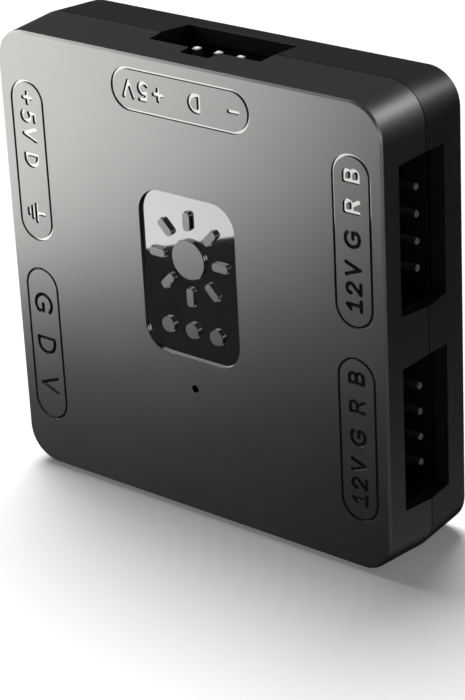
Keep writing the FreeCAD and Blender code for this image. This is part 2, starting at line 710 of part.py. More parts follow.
def pill_path(middle, upright):
    """Return the centre line of a legend's outline."""
    radius = (size("pill_width") - size("pill_groove")) / 2
    reach = (size("pill_length") - size("pill_width")) / 2
    along = FreeCAD.Vector(0, 0, 1) if upright else FreeCAD.Vector(1, 0, 0)
    aside = FreeCAD.Vector(1, 0, 0) if upright else FreeCAD.Vector(0, 0, 1)
    centre = FreeCAD.Vector(middle[0], 0, middle[1])
    low = centre - along * reach
    high = centre + along * reach
    runs = [
        Part.LineSegment(low + aside * radius, high + aside * radius),
        Part.Arc(high + aside * radius, high + along * radius, high - aside * radius),
        Part.LineSegment(high - aside * radius, low - aside * radius),
        Part.Arc(low - aside * radius, low - along * radius, low + aside * radius),
    ]
    return [run.toShape() for run in runs]


def legend_solids():
    """Return the solids that the legends' letters and outlines are cut with."""
    side = size("case_width") / 2 - size("pill_inset")
    across = {"left": -side, "middle": 0, "right": side}
    rise = value(PORT_RISE)
    up = {"lower": -rise, "upper": rise, "top": size("case_height") / 2 - size("pill_inset")}
    depth = size("legend_depth")
    start = FreeCAD.Vector(0, -size("front_depth") - depth, 0)
    solids = []
    for column, row, angle, height, signs in LEGENDS:
        middle = (across[column], up[row])
        turn = math.radians(angle)
        bands = [groove_face(pill_path(middle, column != "middle"), size("pill_groove"))]
        letter = size(height) - size("legend_stroke")
        for sign, shift in signs:
            wide, strokes = SIGNS[sign]
            u = shift * size(height) - wide * letter / 2
            corner = (
                middle[0] + u * math.cos(turn) + letter / 2 * math.sin(turn),
                middle[1] + u * math.sin(turn) - letter / 2 * math.cos(turn),
            )
            parts = []
            for stroke in strokes:
                edges = [stroke_path(points, letter, turn, corner) for points in stroke]
                parts.append(groove_face(edges, size("legend_stroke")))
            bands.append(parts[0].fuse(parts[1:]).removeSplitter() if len(parts) > 1 else parts[0])
        for band in bands:
            band.translate(start)
            solids.append(band.extrude(FreeCAD.Vector(0, 2 * depth, 0)))
    return Part.makeCompound(solids)


def make_inlay():
    """Polished plate that lies on the floor of the emblem recess."""
    plate = emblem_form("face_inlay", "sizes.inlay_gap", EMBLEM_FLOOR, "sizes.inlay_thickness")
    keep(plate, "face_inlay")


def make_screws():
    """Four case screws with cross recesses, from the back of the case."""
    body = new_body("screw")
    head = face_sketch(body, "screw_head_sketch", HEAD_SEAT)
    add_circle(head, "sizes.screw_head")
    pad(body, "screw_head_pad", head, "sizes.head_height", True)
    stand(body, "screw_shank", "sizes.screw_core", "0", "0", HEAD_SEAT,
          f"{POST_MEET} - sizes.thread_length", False)
    for name, wide, tall in (("one", "length", "width"), ("two", "width", "length")):
        recess = face_sketch(body, f"cross_{name}_sketch", f"{HEAD_SEAT} + sizes.head_height")
        add_rectangle(recess, f"sizes.cross_{wide}", f"sizes.cross_{tall}")
        pocket(body, f"cross_{name}", recess, "sizes.cross_depth")
    corners = [(x, "0", z) for x, z in four_corners(SCREW_X, SCREW_Z)]
    group = copies("case_screws", body, corners)
    place(group)
    keep(group, "case_screws")


def make_pad():
    """Foam mounting pad on the back."""
    body = new_body("mounting_pad")
    outline = face_sketch(body, "pad_outline", "sizes.rear_depth")
    add_rounded_rectangle(outline, "sizes.pad_side", "sizes.pad_side", "sizes.pad_radius")
    pad(body, "pad_foam", outline, "sizes.pad_thickness", True)
    place(body)
    keep(body, "mounting_pad")


def port_place(item, port):
    """Place a group that is built in a port's frame into its wall."""
    item.Placement.Rotation = FreeCAD.Rotation(FreeCAD.Vector(0, 1, 0), port.wall)
    place(item, WALL_X[port.wall], "0", port.height)


def make_round_pin():
    """Bent round pin of a header, in its port's frame, with its bevelled tip outwards."""
    radius = "sizes.pin_size / 2"
    run = doc.addObject("Part::Cylinder", "round_run")
    bind(run, Radius=radius, Height=f"-sizes.round_recess - sizes.pin_point - {TAIL_X} - sizes.pin_bend")
    run.Placement.Rotation = FreeCAD.Rotation(FreeCAD.Vector(0, 1, 0), 90)
    place(run, f"{TAIL_X} + sizes.pin_bend", "-sizes.pin_row", frame=False)
    tip = doc.addObject("Part::Cone", "round_tip")
    bind(tip, Radius1=radius, Radius2=f"{radius} - sizes.pin_point", Height="sizes.pin_point")
    tip.Placement.Rotation = FreeCAD.Rotation(FreeCAD.Vector(0, 1, 0), 90)
    place(tip, "-sizes.round_recess - sizes.pin_point", "-sizes.pin_row", frame=False)
    knee = doc.addObject("Part::Torus", "round_knee")
    bind(knee, Radius1="sizes.pin_bend", Radius2=radius)
    knee.Angle3 = 90
    knee.Placement.Rotation = FreeCAD.Rotation(FreeCAD.Vector(0, 0, 1), 180)
    place(knee, f"{TAIL_X} + sizes.pin_bend", "-sizes.pin_row + sizes.pin_bend", frame=False)
    tail = doc.addObject("Part::Cylinder", "round_tail")
    bind(tail, Radius=radius, Height=f"{TAIL_END} + sizes.pin_row - sizes.pin_bend")
    tail.Placement.Rotation = FreeCAD.Rotation(FreeCAD.Vector(1, 0, 0), -90)
    place(tail, TAIL_X, "-sizes.pin_row + sizes.pin_bend", frame=False)
    return fuse("round_pin", [run, tip, knee, tail])


def make_square_pin():
    """Bent square pin of a header, in its port's frame, with its bevelled tip outwards."""
    body = new_body("square_pin")
    path = new_sketch(body, "square_path", "XY_Plane", "-sizes.square_recess", "-sizes.pin_row")
    run = f"-sizes.square_recess - {TAIL_X} - sizes.pin_bend"
    drop = f"{TAIL_END} + sizes.pin_row - sizes.pin_bend"
    run_length = value(run)
    drop_length = value(drop)
    bend = size("pin_bend")
    knee = vector(-run_length - bend, bend)
    path.addGeometry(Part.LineSegment(vector(0, 0), vector(-run_length, 0)))
    circle = Part.Circle(vector(-run_length, bend), FreeCAD.Vector(0, 0, 1), bend)
    path.addGeometry(Part.ArcOfCircle(circle, math.pi, 1.5 * math.pi))
    path.addGeometry(Part.LineSegment(knee, knee + vector(0, drop_length)))
    path.addConstraint(Sketcher.Constraint("Coincident", 0, 1, -1, 1))
    path.addConstraint(Sketcher.Constraint("Horizontal", 0))
    path.addConstraint(Sketcher.Constraint("Vertical", 2))
    path.addConstraint(Sketcher.Constraint("Tangent", 0, 2, 1, 2))
    path.addConstraint(Sketcher.Constraint("Tangent", 1, 1, 2, 1))
    dimension(path, Sketcher.Constraint("Distance", 0, run_length), "run", run)
    dimension(path, Sketcher.Constraint("Distance", 2, drop_length), "drop", drop)
    dimension(path, Sketcher.Constraint("Radius", 1, bend), "bend", "sizes.pin_bend")
    section = new_sketch(body, "square_section", "YZ_Plane", "-sizes.pin_row", "0", "-sizes.square_recess")
    add_rectangle(section, "sizes.pin_size", "sizes.pin_size")
    doc.recompute()
    wire = body.newObject("PartDesign::AdditivePipe", "square_wire")
    wire.Profile = section
    wire.Spine = (path, ["Edge1", "Edge2", "Edge3"])
    doc.recompute()
    tip = edges_on_plane(wire.Shape, "X", -size("square_recess"))
    dress(body, "Chamfer", "square_point", wire, tip, "sizes.pin_point")
    return body


def make_headers():
    """Five pin headers: a housing with a socket behind its port, and its row of bent pins."""
    masters = {"round_pin": make_round_pin(), "square_pin": make_square_pin()}
    front = f"({FRONT_INSIDE} + sizes.housing_gap)"
    for port in PORTS:
        name = port.name
        length, opening, back = port_opening(port)
        socket = f"({length} - 2 * {opening} * tan(sizes.draft))"
        shell = block(
            f"{name}_shell",
            f"{MOUTH_X} - {BACK_X}", f"{BOARD_FRONT} - {front}", f"{socket} + 2 * sizes.housing_wall",
            f"({MOUTH_X} + {BACK_X}) / 2", front,
        )
        beyond = f"({MOUTH_X} - {FLOOR_X} + sizes.housing_wall)"
        middle = f"({FLOOR_X} + {beyond} / 2)"
        tools = [block(f"{name}_socket", beyond, f"{opening} + {back}", socket, middle, f"-{opening}")]
        if port.wall == TOP:
            key = "(sizes.key_width - 2 * sizes.key_front * tan(sizes.draft))"
            tools.append(block(f"{name}_key", beyond, "sizes.key_front", key, middle, "-sizes.key_front"))
        steps = [f"{step} * sizes.pin_pitch" for step in port.pins]
        for number, step in enumerate(steps, 1):
            tools.append(pin_bore(f"{name}_bore_{number}", port.form, step))
        housing = cut(f"{name}_housing", shell, fuse(f"{name}_hollow", tools))
        port_place(housing, port)
        keep(housing, f"{name}_housing")
        row = copies(f"{name}_pins", masters[port.form], [("0", "0", step) for step in steps])
        port_place(row, port)
        keep(row, f"{name}_pins")


def pin_bore(name, form, z):
    """Hole for one pin through a housing's back wall, the size of the pin."""
    length = "(sizes.housing_back + 2 * sizes.housing_gap)"
    start = f"({BACK_X} - sizes.housing_gap)"
    if form == "square_pin":
        return block(name, length, "sizes.pin_size", "sizes.pin_size",
                     f"({start} + {length} / 2)", "-sizes.pin_row - sizes.pin_size / 2", z)
    hole = doc.addObject("Part::Cylinder", name)
    bind(hole, Radius="sizes.pin_size / 2", Height=length)
    hole.Placement.Rotation = FreeCAD.Rotation(FreeCAD.Vector(0, 1, 0), 90)
    place(hole, start, "-sizes.pin_row", z, frame=False)
    return hole


def tail_places():
    """Return the places of every pin tail on the board, in the case's frame."""
    places = []
    for port in PORTS:
        for step in port.pins:
            along = f"{step} * sizes.pin_pitch"
            if port.wall == TOP:
                places.append((f"-({along})", f"{port.height} + {TAIL_X}"))
            elif port.wall == RIGHT:
                places.append((f"{WALL_X[RIGHT]} + {TAIL_X}", f"{port.height} + {along}"))
            else:
                places.append((f"{WALL_X[LEFT]} - {TAIL_X}", f"{port.height} - {along}"))
    return places


def make_board():
    """Circuit board with cut corners and a hole for every pin tail."""
    body = new_body("board_blank")
    outline = face_sketch(body, "board_outline", BOARD_FRONT)
    shrink = "2 * (sizes.side_wall + sizes.rear_depth * tan(sizes.draft) + sizes.board_clearance)"
    add_rectangle(outline, f"sizes.case_width - {shrink}", f"sizes.case_height - {shrink}")
    sheet_solid = pad(body, "board_sheet", outline, "sizes.board_thickness", True)
    corners = []
    for number, edge in enumerate(sheet_solid.Shape.Edges, 1):
        if edge.BoundBox.YLength > size("board_thickness") / 2:
            corners.append(f"Edge{number}")
    dress(body, "Chamfer", "board_corners", sheet_solid, corners, "sizes.board_corner")
    for number, (x, z) in enumerate(tail_places(), 1):
        bore(body, f"tail_hole_{number}", "sizes.tail_bore", x, z, BOARD_FRONT, "sizes.board_thickness", True)
    place(body)
    keep(body, "circuit_board")


def board_block(name, wide, height, tall, x="0", z="0", lift="0"):
    """Make a block that stands on the board's front, in the case's frame."""
    return block(name, wide, height, tall, x, f"{BOARD_FRONT} - {lift} - {height}", z)


def make_controller():
    """Controller chip: a moulded body, and two rows of eight bent leads."""
    body = doc.addObject("Part::Box", "controller_chip")
    bind(body, Length="sizes.chip_width", Width="sizes.chip_height", Height="sizes.chip_length")
    place(body, "-sizes.chip_width / 2", f"{BOARD_FRONT} - sizes.chip_lift - sizes.chip_height",
          "sizes.chip_rise - sizes.chip_length / 2")
    keep(body, "controller_chip")

    lead = new_body("lead")
    profile = new_sketch(lead, "lead_profile", "XY_Plane", "sizes.chip_width / 2", BOARD_FRONT)
    thick = size("lead_thickness")
    shoulder = size("lead_shoulder")
    foot = size("lead_foot")
    rise = size("chip_lift") + size("chip_height") / 2
    points = [
        (0, -rise - thick / 2),
        (shoulder + thick, -rise - thick / 2),
        (shoulder + thick, -thick),
        (shoulder + thick + foot, -thick),
        (shoulder + thick + foot, 0),
        (shoulder, 0),
        (shoulder, -rise + thick / 2),
        (0, -rise + thick / 2),
    ]
    for start, end in zip(points, points[1:] + points[:1]):
        profile.addGeometry(Part.LineSegment(vector(*start), vector(*end)))
    for line in range(len(points)):
        following = (line + 1) % len(points)
        profile.addConstraint(Sketcher.Constraint("Coincident", line, 2, following, 1))
        direction = "Horizontal" if line % 2 == 0 else "Vertical"
        profile.addConstraint(Sketcher.Constraint(direction, line))
    profile.addConstraint(Sketcher.Constraint("PointOnObject", 0, 1, -2))
    profile.addConstraint(Sketcher.Constraint("PointOnObject", 4, 2, -1))
    dimension(profile, Sketcher.Constraint("Distance", 7, thick), "body_end", "sizes.lead_thickness")
    dimension(profile, Sketcher.Constraint("Distance", 3, thick), "foot_end", "sizes.lead_thickness")
    dimension(profile, Sketcher.Constraint("DistanceX", 6, 2, 6, 1, shoulder), "shoulder",
              "sizes.lead_shoulder")
    dimension(profile, Sketcher.Constraint("DistanceX", 5, 1, 0, 2, thick), "shank", "sizes.lead_thickness")
    dimension(profile, Sketcher.Constraint("DistanceX", 2, 1, 2, 2, foot), "foot", "sizes.lead_foot")
    dimension(profile, Sketcher.Constraint("DistanceY", 5, 2, 4, 2, rise - thick / 2), "rise",
              "sizes.chip_lift + sizes.chip_height / 2 - sizes.lead_thickness / 2")
    strip = lead.newObject("PartDesign::Pad", "lead_strip")
    strip.Profile = profile
    strip.SideType = "Symmetric"
    bind(strip, Length="sizes.lead_width")
    doc.recompute()
    places = []
    turns = []
    for turn in (0, 180):
        for lead_number in range(LEADS_PER_SIDE):
            step = lead_number - (LEADS_PER_SIDE - 1) / 2
            places.append(("0", "0", f"sizes.chip_rise + {step} * sizes.lead_pitch"))
            turns.append(turn)
    leads = copies("controller_leads", lead, places, turns)
    place(leads)
    keep(leads, "controller_leads")


def legged_chip(name, wide, legs_left, legs_right):
    """Small chip with flat legs at its two long sides, on the board at the middle of the case."""
    body = board_block(f"{name}_body", wide, "sizes.transistor_height", "sizes.transistor_length")
    pieces = [body]
    reach = "(sizes.leg_length * 2)"
    for side, legs in ((-1, legs_left), (1, legs_right)):
        for number, step in enumerate(legs, 1):
            pieces.append(board_block(
                f"{name}_leg_{'left' if side < 0 else 'right'}_{number}",
                reach, "sizes.leg_thickness", "sizes.leg_width",
                f"{side} * ({wide}) / 2", f"{step} * sizes.leg_pitch",
            ))
    return fuse(name, pieces)


def make_small_parts():
    """Transistors, resistors, ceramic capacitors, regulator, diode and lamp on the board."""
    tails = f"{WALL_X[RIGHT]} + {TAIL_X}"
    row = f"({PORT_RISE} - sizes.driver_shift)"
    rows = [(level, step) for level in (1, -1) for step in (-1, 0, 1)]
    transistor = legged_chip("transistor", "sizes.transistor_width", (0,), (-1, 1))
    column = f"{tails} - sizes.transistor_offset"
    group = copies("drive_transistors", transistor, [
        (column, "0", f"{level} * {row} + {step} * sizes.transistor_pitch")
        for level, step in rows
    ])
    place(group)
    keep(group, "drive_transistors")

    resistor = board_block("resistor", "sizes.resistor_length", "sizes.resistor_height",
                           "sizes.resistor_width")
    column = f"{tails} - sizes.resistor_offset"
    group = copies("chip_resistors", resistor, [
        (column, "0", f"{level} * {row} + {step} * sizes.resistor_pitch")
        for level, step in rows
    ])
    place(group)
    keep(group, "chip_resistors")

    ceramic = board_block("ceramic", "sizes.ceramic_length", "sizes.ceramic_height", "sizes.ceramic_width")
    spots = []
    for across in (-0.5, 0.5):
        for step in (-1, 0, 1):
            x = f"-sizes.ceramic_x + {across} * sizes.ceramic_step"
            spots.append((x, "0", f"sizes.ceramic_z + {step} * sizes.ceramic_step"))
    group = copies("ceramic_capacitors", ceramic, spots)
    place(group)
    keep(group, "ceramic_capacitors")

    regulator = legged_chip("regulator", "sizes.regulator_width", (-1, 0, 1), (-1, 0, 1))
    spot = ("-sizes.regulator_x", "0", f"{BOTTOM} + sizes.regulator_rise")
    group = copies("boost_regulator", regulator, [spot])
    place(group)
    keep(group, "boost_regulator")

    diode_z = f"({BOTTOM} + sizes.diode_rise)"
    body = board_block("diode_body", "sizes.diode_width", "sizes.diode_height", "sizes.diode_length",
                       "-sizes.diode_x", diode_z)
    tabs = board_block("diode_tabs", "sizes.diode_width / 2", "sizes.diode_height / 2",
                       "sizes.diode_length + 2 * sizes.diode_tab", "-sizes.diode_x", diode_z)
    diode = fuse("rectifier_diode", [body, tabs])
    place(diode)
    keep(diode, "rectifier_diode")

    base = board_block("lamp_base_block", "sizes.lamp_length", "sizes.lamp_base", "sizes.lamp_width",
                       "0", PINHOLE_Z)
    lens = board_block("lamp_lens_block", "sizes.lamp_length - 2 * sizes.lamp_step", "sizes.lamp_lens",
                       "sizes.lamp_width", "0", PINHOLE_Z, "sizes.lamp_base")
    lamp = fuse("status_lamp", [base, lens])
    place(lamp)
    keep(lamp, "status_lamp")


def make_power_parts():
    """Inductor, and two capacitor cans on their square bases."""
    coil = new_body("power_inductor")
    outline = face_sketch(coil, "coil_outline", BOARD_FRONT, "-sizes.coil_x", f"{BOTTOM} + sizes.coil_rise")
    add_rounded_rectangle(outline, "sizes.coil_side", "sizes.coil_side", "sizes.coil_radius")
    pad(coil, "coil_block", outline, "sizes.coil_height")
    place(coil)
    keep(coil, "power_inductor")

    spots = [
        ("sizes.can_output_x", "0", f"{BOTTOM} + sizes.can_output_rise"),
        (f"{WALL_X[LEFT]} - {TAIL_X} + sizes.can_input_offset", "0", f"{BOTTOM} + sizes.can_input_rise"),
    ]
    base = new_body("can_base")
    outline = face_sketch(base, "base_outline", BOARD_FRONT)
    add_rounded_rectangle(outline, "sizes.base_side", "sizes.base_side", "sizes.base_radius")
    pad(base, "base_plate", outline, "sizes.base_height")
    group = copies("capacitor_bases", base, spots)
    place(group)
    keep(group, "capacitor_bases")

    can = new_body("can")
    foot = f"({BOARD_FRONT} - sizes.base_height)"
    drum = stand(can, "can_drum", "sizes.can_diameter", "0", "0", foot, f"{foot} - sizes.can_height", False)
    rim = edges_on_plane(drum.Shape, "Y", value(f"{foot} - sizes.can_height"))
    dress(can, "Fillet", "can_rim", drum, rim, "sizes.can_edge")
    group = copies("capacitor_cans", can, spots)
    place(group)
    keep(group, "capacitor_cans")


def check():
    """Stop if any object failed or any piece is not a sound solid."""
    doc.recompute()
    for item in doc.Objects:
        if "Invalid" in item.State or "Error" in item.State:
            raise RuntimeError(f"{item.Label} failed: {item.State}")
    for node in nodes:
        if node.Shape.isNull() or not node.Shape.isValid() or not node.Shape.Solids:
            raise RuntimeError(f"{node.Label} has no sound shape")


def export():
    """Write each piece to a file of its own name."""
    os.makedirs("parts", exist_ok=True)
    for node in nodes:
        node.Shape.exportStep(f"parts/{node.Label}.step")
        print(node.Label, len(node.Shape.Solids), round(node.Shape.Volume, 3))


fill_sheet()
make_front_shell()
make_rear_shell()
make_inlay()
make_screws()
make_pad()
make_headers()
make_board()
make_controller()
make_small_parts()
make_power_parts()
check()
export()
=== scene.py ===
"""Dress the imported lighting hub: finishes for every piece, a few fine pieces, and the studio."""

import json
import logging
import math
from dataclasses import dataclass
from enum import Enum
from typing import Dict, List, Optional, Sequence, Tuple, Union

import bmesh
import bpy
import numpy as np
from mathutils import Matrix, Vector


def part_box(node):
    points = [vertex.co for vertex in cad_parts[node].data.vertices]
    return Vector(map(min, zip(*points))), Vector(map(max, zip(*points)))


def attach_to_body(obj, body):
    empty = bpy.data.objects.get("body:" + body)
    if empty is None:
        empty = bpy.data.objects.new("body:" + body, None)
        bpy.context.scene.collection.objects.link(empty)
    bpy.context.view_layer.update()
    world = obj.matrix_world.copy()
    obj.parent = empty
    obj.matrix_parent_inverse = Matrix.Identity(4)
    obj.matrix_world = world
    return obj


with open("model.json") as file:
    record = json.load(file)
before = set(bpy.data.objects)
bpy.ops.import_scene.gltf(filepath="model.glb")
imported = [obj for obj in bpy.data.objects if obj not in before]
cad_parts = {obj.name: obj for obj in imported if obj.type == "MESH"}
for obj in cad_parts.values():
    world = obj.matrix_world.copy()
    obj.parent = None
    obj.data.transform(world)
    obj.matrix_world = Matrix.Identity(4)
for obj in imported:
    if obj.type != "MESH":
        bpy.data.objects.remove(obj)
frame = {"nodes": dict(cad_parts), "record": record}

LOG = logging.getLogger("hub")
MM = 0.001
MERGE = 1e-7
BODY = "root"

Colour = Tuple[float, float, float]
Triple = Tuple[float, float, float]
Zone = Tuple[float, float, float, float]
Socket = bpy.types.NodeSocket
Value = Union[float, Colour, Socket]
Materials = Dict[str, bpy.types.Material]


class Op(Enum):
    """The sums that the finishes work out between nodes."""

    ADD = "ADD"
    SUBTRACT = "SUBTRACT"
    MULTIPLY = "MULTIPLY"
    ABOVE = "GREATER_THAN"
    BELOW = "LESS_THAN"
    ABSOLUTE = "ABSOLUTE"
    MAXIMUM = "MAXIMUM"
    PINGPONG = "PINGPONG"


class Mix(Enum):
    """What a Mix node mixes: its data type, and the numbers of its two inputs and its result."""

    NUMBERS = ("FLOAT", 2, 3, 0)
    COLOURS = ("RGBA", 6, 7, 2)


class Seen(Enum):
    """Which rays meet a piece of the studio."""

    BY_ALL = "all"
    IN_REFLECTIONS = "reflections"


def scaled(colour: Colour, gain: float) -> Colour:
    """A colour made brighter or darker by a gain, and held at 1."""
    return tuple(min(1.0, gain * part) for part in colour)


class NodeKit:
    """Short calls for the nodes of one material, laid in its own tree.

    An edge counts as flat while the cosine between its rounded and its flat normal is above
    FLAT_COSINE, and as fully round below ROUND_COSINE.
    """

    EDGE_SAMPLES = 6
    FLAT_COSINE = 0.995
    ROUND_COSINE = 0.9

    def __init__(self, name: str) -> None:
        """Start an empty material of that name, with its output and its Object coordinates.

        Args:
            name: the material's name.
        """
        self.material = bpy.data.materials.new(name)
        self.material.use_nodes = True
        self.tree = self.material.node_tree
        self.tree.nodes.clear()
        self.output = self.add("ShaderNodeOutputMaterial")
        self.place = self.add("ShaderNodeTexCoord").outputs["Object"]

    def add(self, kind: str, **sockets: Value) -> bpy.types.Node:
        """Add a node and fill its inputs.

        Args:
            kind: the node's type name.
            sockets: input names, with _ for a space, and a value or a socket for each.

        Returns:
            The new node.
        """
        node = self.tree.nodes.new(kind)
        for name, value in sockets.items():
            self.feed(node.inputs[name.replace("_", " ")], value)
        return node

    def feed(self, target: Socket, value: Value) -> None:
        """Link a socket to the target, or set the target's own value.

        Args:
            target: the input to fill.
            value: a socket, a number or a colour.
        """
        if isinstance(value, Socket):
            self.tree.links.new(value, target)
        elif isinstance(value, tuple) and len(target.default_value) == len(value) + 1:
            target.default_value = (*value, 1.0)
        else:
            target.default_value = value

    def sum(self, op: Op, first: Value, second: Value = 0.0) -> Socket:
        """Work out one sum.

        Args:
            op: what is done with the two numbers.
            first: the first number.
            second: the second number, where the sum has one.

        Returns:
            The result.
        """
        node = self.add("ShaderNodeMath")
        node.operation = op.value
        self.feed(node.inputs[0], first)
        self.feed(node.inputs[1], second)
        return node.outputs[0]

    def axes(self) -> List[Socket]:
        """The Object coordinates as three numbers, in metres."""
        return list(self.add("ShaderNodeSeparateXYZ", Vector=self.place).outputs)

    def noise(self, grain: float, detail: float = 3.0, stretch: Triple = (1.0, 1.0, 1.0)) -> Socket:
        """Noise from 0 to 1 on Object coordinates.

        Args:
            grain: the size of one grain, in metres.
            detail: how many finer layers are added.
            stretch: how much closer the grains lie along each axis.

        Returns:
            The noise's value.
        """
        mapping = self.add("ShaderNodeMapping", Vector=self.place, Scale=stretch)
        node = self.add("ShaderNodeTexNoise", Vector=mapping.outputs[0], Scale=1.0 / grain, Detail=detail)
        return node.outputs["Fac"]

    def span(self, fac: Value, low: float, high: float) -> Socket:
        """Stretch a number from 0 to 1 over low to high.

        Args:
            fac: the number.
            low: the result for 0.
            high: the result for 1.

        Returns:
            The stretched number.
        """
        node = self.add("ShaderNodeMapRange", Value=fac)
        self.feed(node.inputs["To Min"], low)
        self.feed(node.inputs["To Max"], high)
        return node.outputs[0]

    def ease(self, value: Value, start: float, end: float) -> Socket:
        """A smooth step.

        Args:
            value: the number that is tested.
            start: where the step is 0.
            end: where the step is 1.

        Returns:
            The step's height.
        """
        node = self.add("ShaderNodeMapRange", Value=value)
        node.interpolation_type = "SMOOTHSTEP"
        self.feed(node.inputs["From Min"], start)
        self.feed(node.inputs["From Max"], end)
        return node.outputs[0]

    def blend(self, fac: Value, first: Value, second: Value, kind: Mix = Mix.COLOURS) -> Socket:
        """Mix two colours or two numbers.

        Args:
            fac: the share of the second, from 0 to 1.
            first: the first colour or number.
            second: the second.
            kind: which of the two is mixed.

        Returns:
            The mixture.
        """
        data_type, first_input, second_input, result = kind.value
        node = self.add("ShaderNodeMix")
        node.data_type = data_type
        self.feed(node.inputs["Factor"], fac)
        self.feed(node.inputs[first_input], first)
        self.feed(node.inputs[second_input], second)
        return node.outputs[result]

    def edges(self, radius: float) -> Tuple[Socket, Socket]:
        """Round every sharp edge a little.

        Args:
            radius: the round's radius, in metres.

        Returns:
            The rounded normal, and a mask that is 1 on the rounds and 0 on the flats.
        """
        bevel = self.add("ShaderNodeBevel", Radius=radius)
        bevel.samples = self.EDGE_SAMPLES
        flat = self.add("ShaderNodeNewGeometry").outputs["Normal"]
        cosine = self.add("ShaderNodeVectorMath")
        cosine.operation = "DOT_PRODUCT"
        self.feed(cosine.inputs[0], bevel.outputs[0])
        self.feed(cosine.inputs[1], flat)
        mask = self.ease(cosine.outputs["Value"], self.FLAT_COSINE, self.ROUND_COSINE)
        return bevel.outputs[0], mask

    def bump(self, height: Value, depth: float, normal: Optional[Socket] = None) -> Socket:
        """Tip the normal by a height map.

        Args:
            height: the map, from 0 to 1.
            depth: what 1 stands for, in metres.
            normal: the normal to tip, where it isn't the surface's own.

        Returns:
            The tipped normal.
        """
        node = self.add("ShaderNodeBump", Height=height, Distance=depth, Strength=1.0)
        if normal is not None:
            self.feed(node.inputs["Normal"], normal)
        return node.outputs[0]

    def surface(self, **sockets: Value) -> bpy.types.Material:
        """Close the material with one Principled shader.

        Args:
            sockets: the shader's inputs, with _ for a space.

        Returns:
            The finished material.
        """
        shader = self.add("ShaderNodeBsdfPrincipled", **sockets)
        self.feed(self.output.inputs["Surface"], shader.outputs[0])
        return self.material


@dataclass(frozen=True)
class SatinCase:
    """Satin metallic gunmetal shells: polished engraved floors, bare black insides, painted shade on the
    engraved sides.

    A zone gives a slab's front, its rear, its half width at the seam and its reach to the corners.
    """

    slot: str
    colour: Colour
    roughness: float
    satin_spread: float = 0.03
    grain: float = 0.35 * MM
    grain_detail: float = 2.0
    grain_depth: float = 0.0002 * MM
    mottle: float = 6.0 * MM
    mottle_tint: float = 0.08
    edge_round: float = 0.012 * MM
    # Paler colour on the edges: partly wear, partly a painted highlight.
    worn_and_highlight: float = 0.35
    pale_gain: float = 1.35
    polish: float = 0.05
    polish_gain: float = 1.5
    bare: Colour = (0.006, 0.006, 0.006)
    bare_roughness: float = 0.8
    bare_sheen: float = 0.25
    middle: float = 22.75 * MM
    lean: float = 0.07
    seam: float = -0.425 * MM
    seam_half: float = 0.06 * MM
    engraved: Zone = (-6.17 * MM, -5.6 * MM, 22.0 * MM, 39.0 * MM)
    # The engraved groove walls, painted black as painted shade.
    painted_shade_sides: Zone = (-6.222 * MM, -6.088 * MM, 22.0 * MM, 39.0 * MM)
    hollow: Zone = (-5.5 * MM, 5.0 * MM, 22.7 * MM, 41.5 * MM)

    def depth(self, kit: NodeKit, y: Socket) -> Socket:
        """The distance from the seam, forwards or backwards."""
        return kit.sum(Op.ABSOLUTE, kit.sum(Op.SUBTRACT, y, self.seam))

    def rims(self, kit: NodeKit, y: Socket) -> Socket:
        """A mask that is 1 on the two rims that face each other across the seam."""
        return kit.sum(Op.BELOW, self.depth(kit, y), self.seam_half)

    def zone(self, kit: NodeKit, axes: Sequence[Socket], limits: Zone) -> Socket:
        """A mask that is 1 in a slab across the case with its corners cut off.

        With h the height over the case's middle and s the distance from the seam, the slab holds y
        between its two faces, the larger of |x| and |h| plus the walls' lean times s below its half
        width, and |x| + |h| below its reach to the cut corners.

        Args:
            kit: the material's nodes.
            axes: the Object coordinates.
            limits: the slab.

        Returns:
            The mask.
        """
        front, rear, half, reach = limits
        x, y, z = axes
        side = kit.sum(Op.ABSOLUTE, x)
        rise = kit.sum(Op.ABSOLUTE, kit.sum(Op.SUBTRACT, z, self.middle))
        inset = kit.sum(Op.MULTIPLY, self.depth(kit, y), self.lean)
        tests = [
            kit.sum(Op.BELOW, y, rear),
            kit.sum(Op.BELOW, kit.sum(Op.ADD, kit.sum(Op.MAXIMUM, side, rise), inset), half),
            kit.sum(Op.BELOW, kit.sum(Op.ADD, side, rise), reach),
        ]
        mask = kit.sum(Op.ABOVE, y, front)
        for test in tests:
            mask = kit.sum(Op.MULTIPLY, mask, test)
        return mask

    def material(self) -> bpy.types.Material:
        """Build the finish: fine satin grain, paler edges as wear and painted highlight, polished floors,
        bare plastic, painted shade on the engraved sides.

        Returns:
            The material.
        """
        kit = NodeKit(self.slot)
        axes = kit.axes()
        normal, edge = kit.edges(self.edge_round)
        grain = kit.noise(self.grain, self.grain_detail)
        mottle = kit.noise(self.mottle)
        satin = kit.span(mottle, self.roughness - self.satin_spread, self.roughness + self.satin_spread)
        sunk = self.zone(kit, axes, self.engraved)
        # Bare black plastic at the seam and inside, plus painted shade on the engraved sides.
        plastic_and_shade = self.rims(kit, axes[1])
        for limits in (self.hollow, self.painted_shade_sides):
            plastic_and_shade = kit.sum(Op.MAXIMUM, plastic_and_shade, self.zone(kit, axes, limits))
        lit = scaled(self.colour, self.pale_gain)
        tint = kit.blend(kit.span(mottle, 0.0, self.mottle_tint), self.colour, lit)
        # Edges turn paler: partly wear, partly a painted highlight.
        tint = kit.blend(kit.sum(Op.MULTIPLY, edge, self.worn_and_highlight), tint, lit)
        tint = kit.blend(sunk, tint, scaled(self.colour, self.polish_gain))
        metal_rough = kit.blend(sunk, satin, self.polish, Mix.NUMBERS)
        plastic_and_shade_rough = kit.sum(Op.MULTIPLY, plastic_and_shade, self.bare_roughness)
        return kit.surface(
            Base_Color=kit.blend(plastic_and_shade, tint, self.bare),
            Metallic=kit.span(plastic_and_shade, 1.0, 0.0),
            Specular_IOR_Level=self.bare_sheen,
            Roughness=kit.sum(Op.MAXIMUM, metal_rough, plastic_and_shade_rough),
            Normal=kit.bump(grain, self.grain_depth, normal),
        )


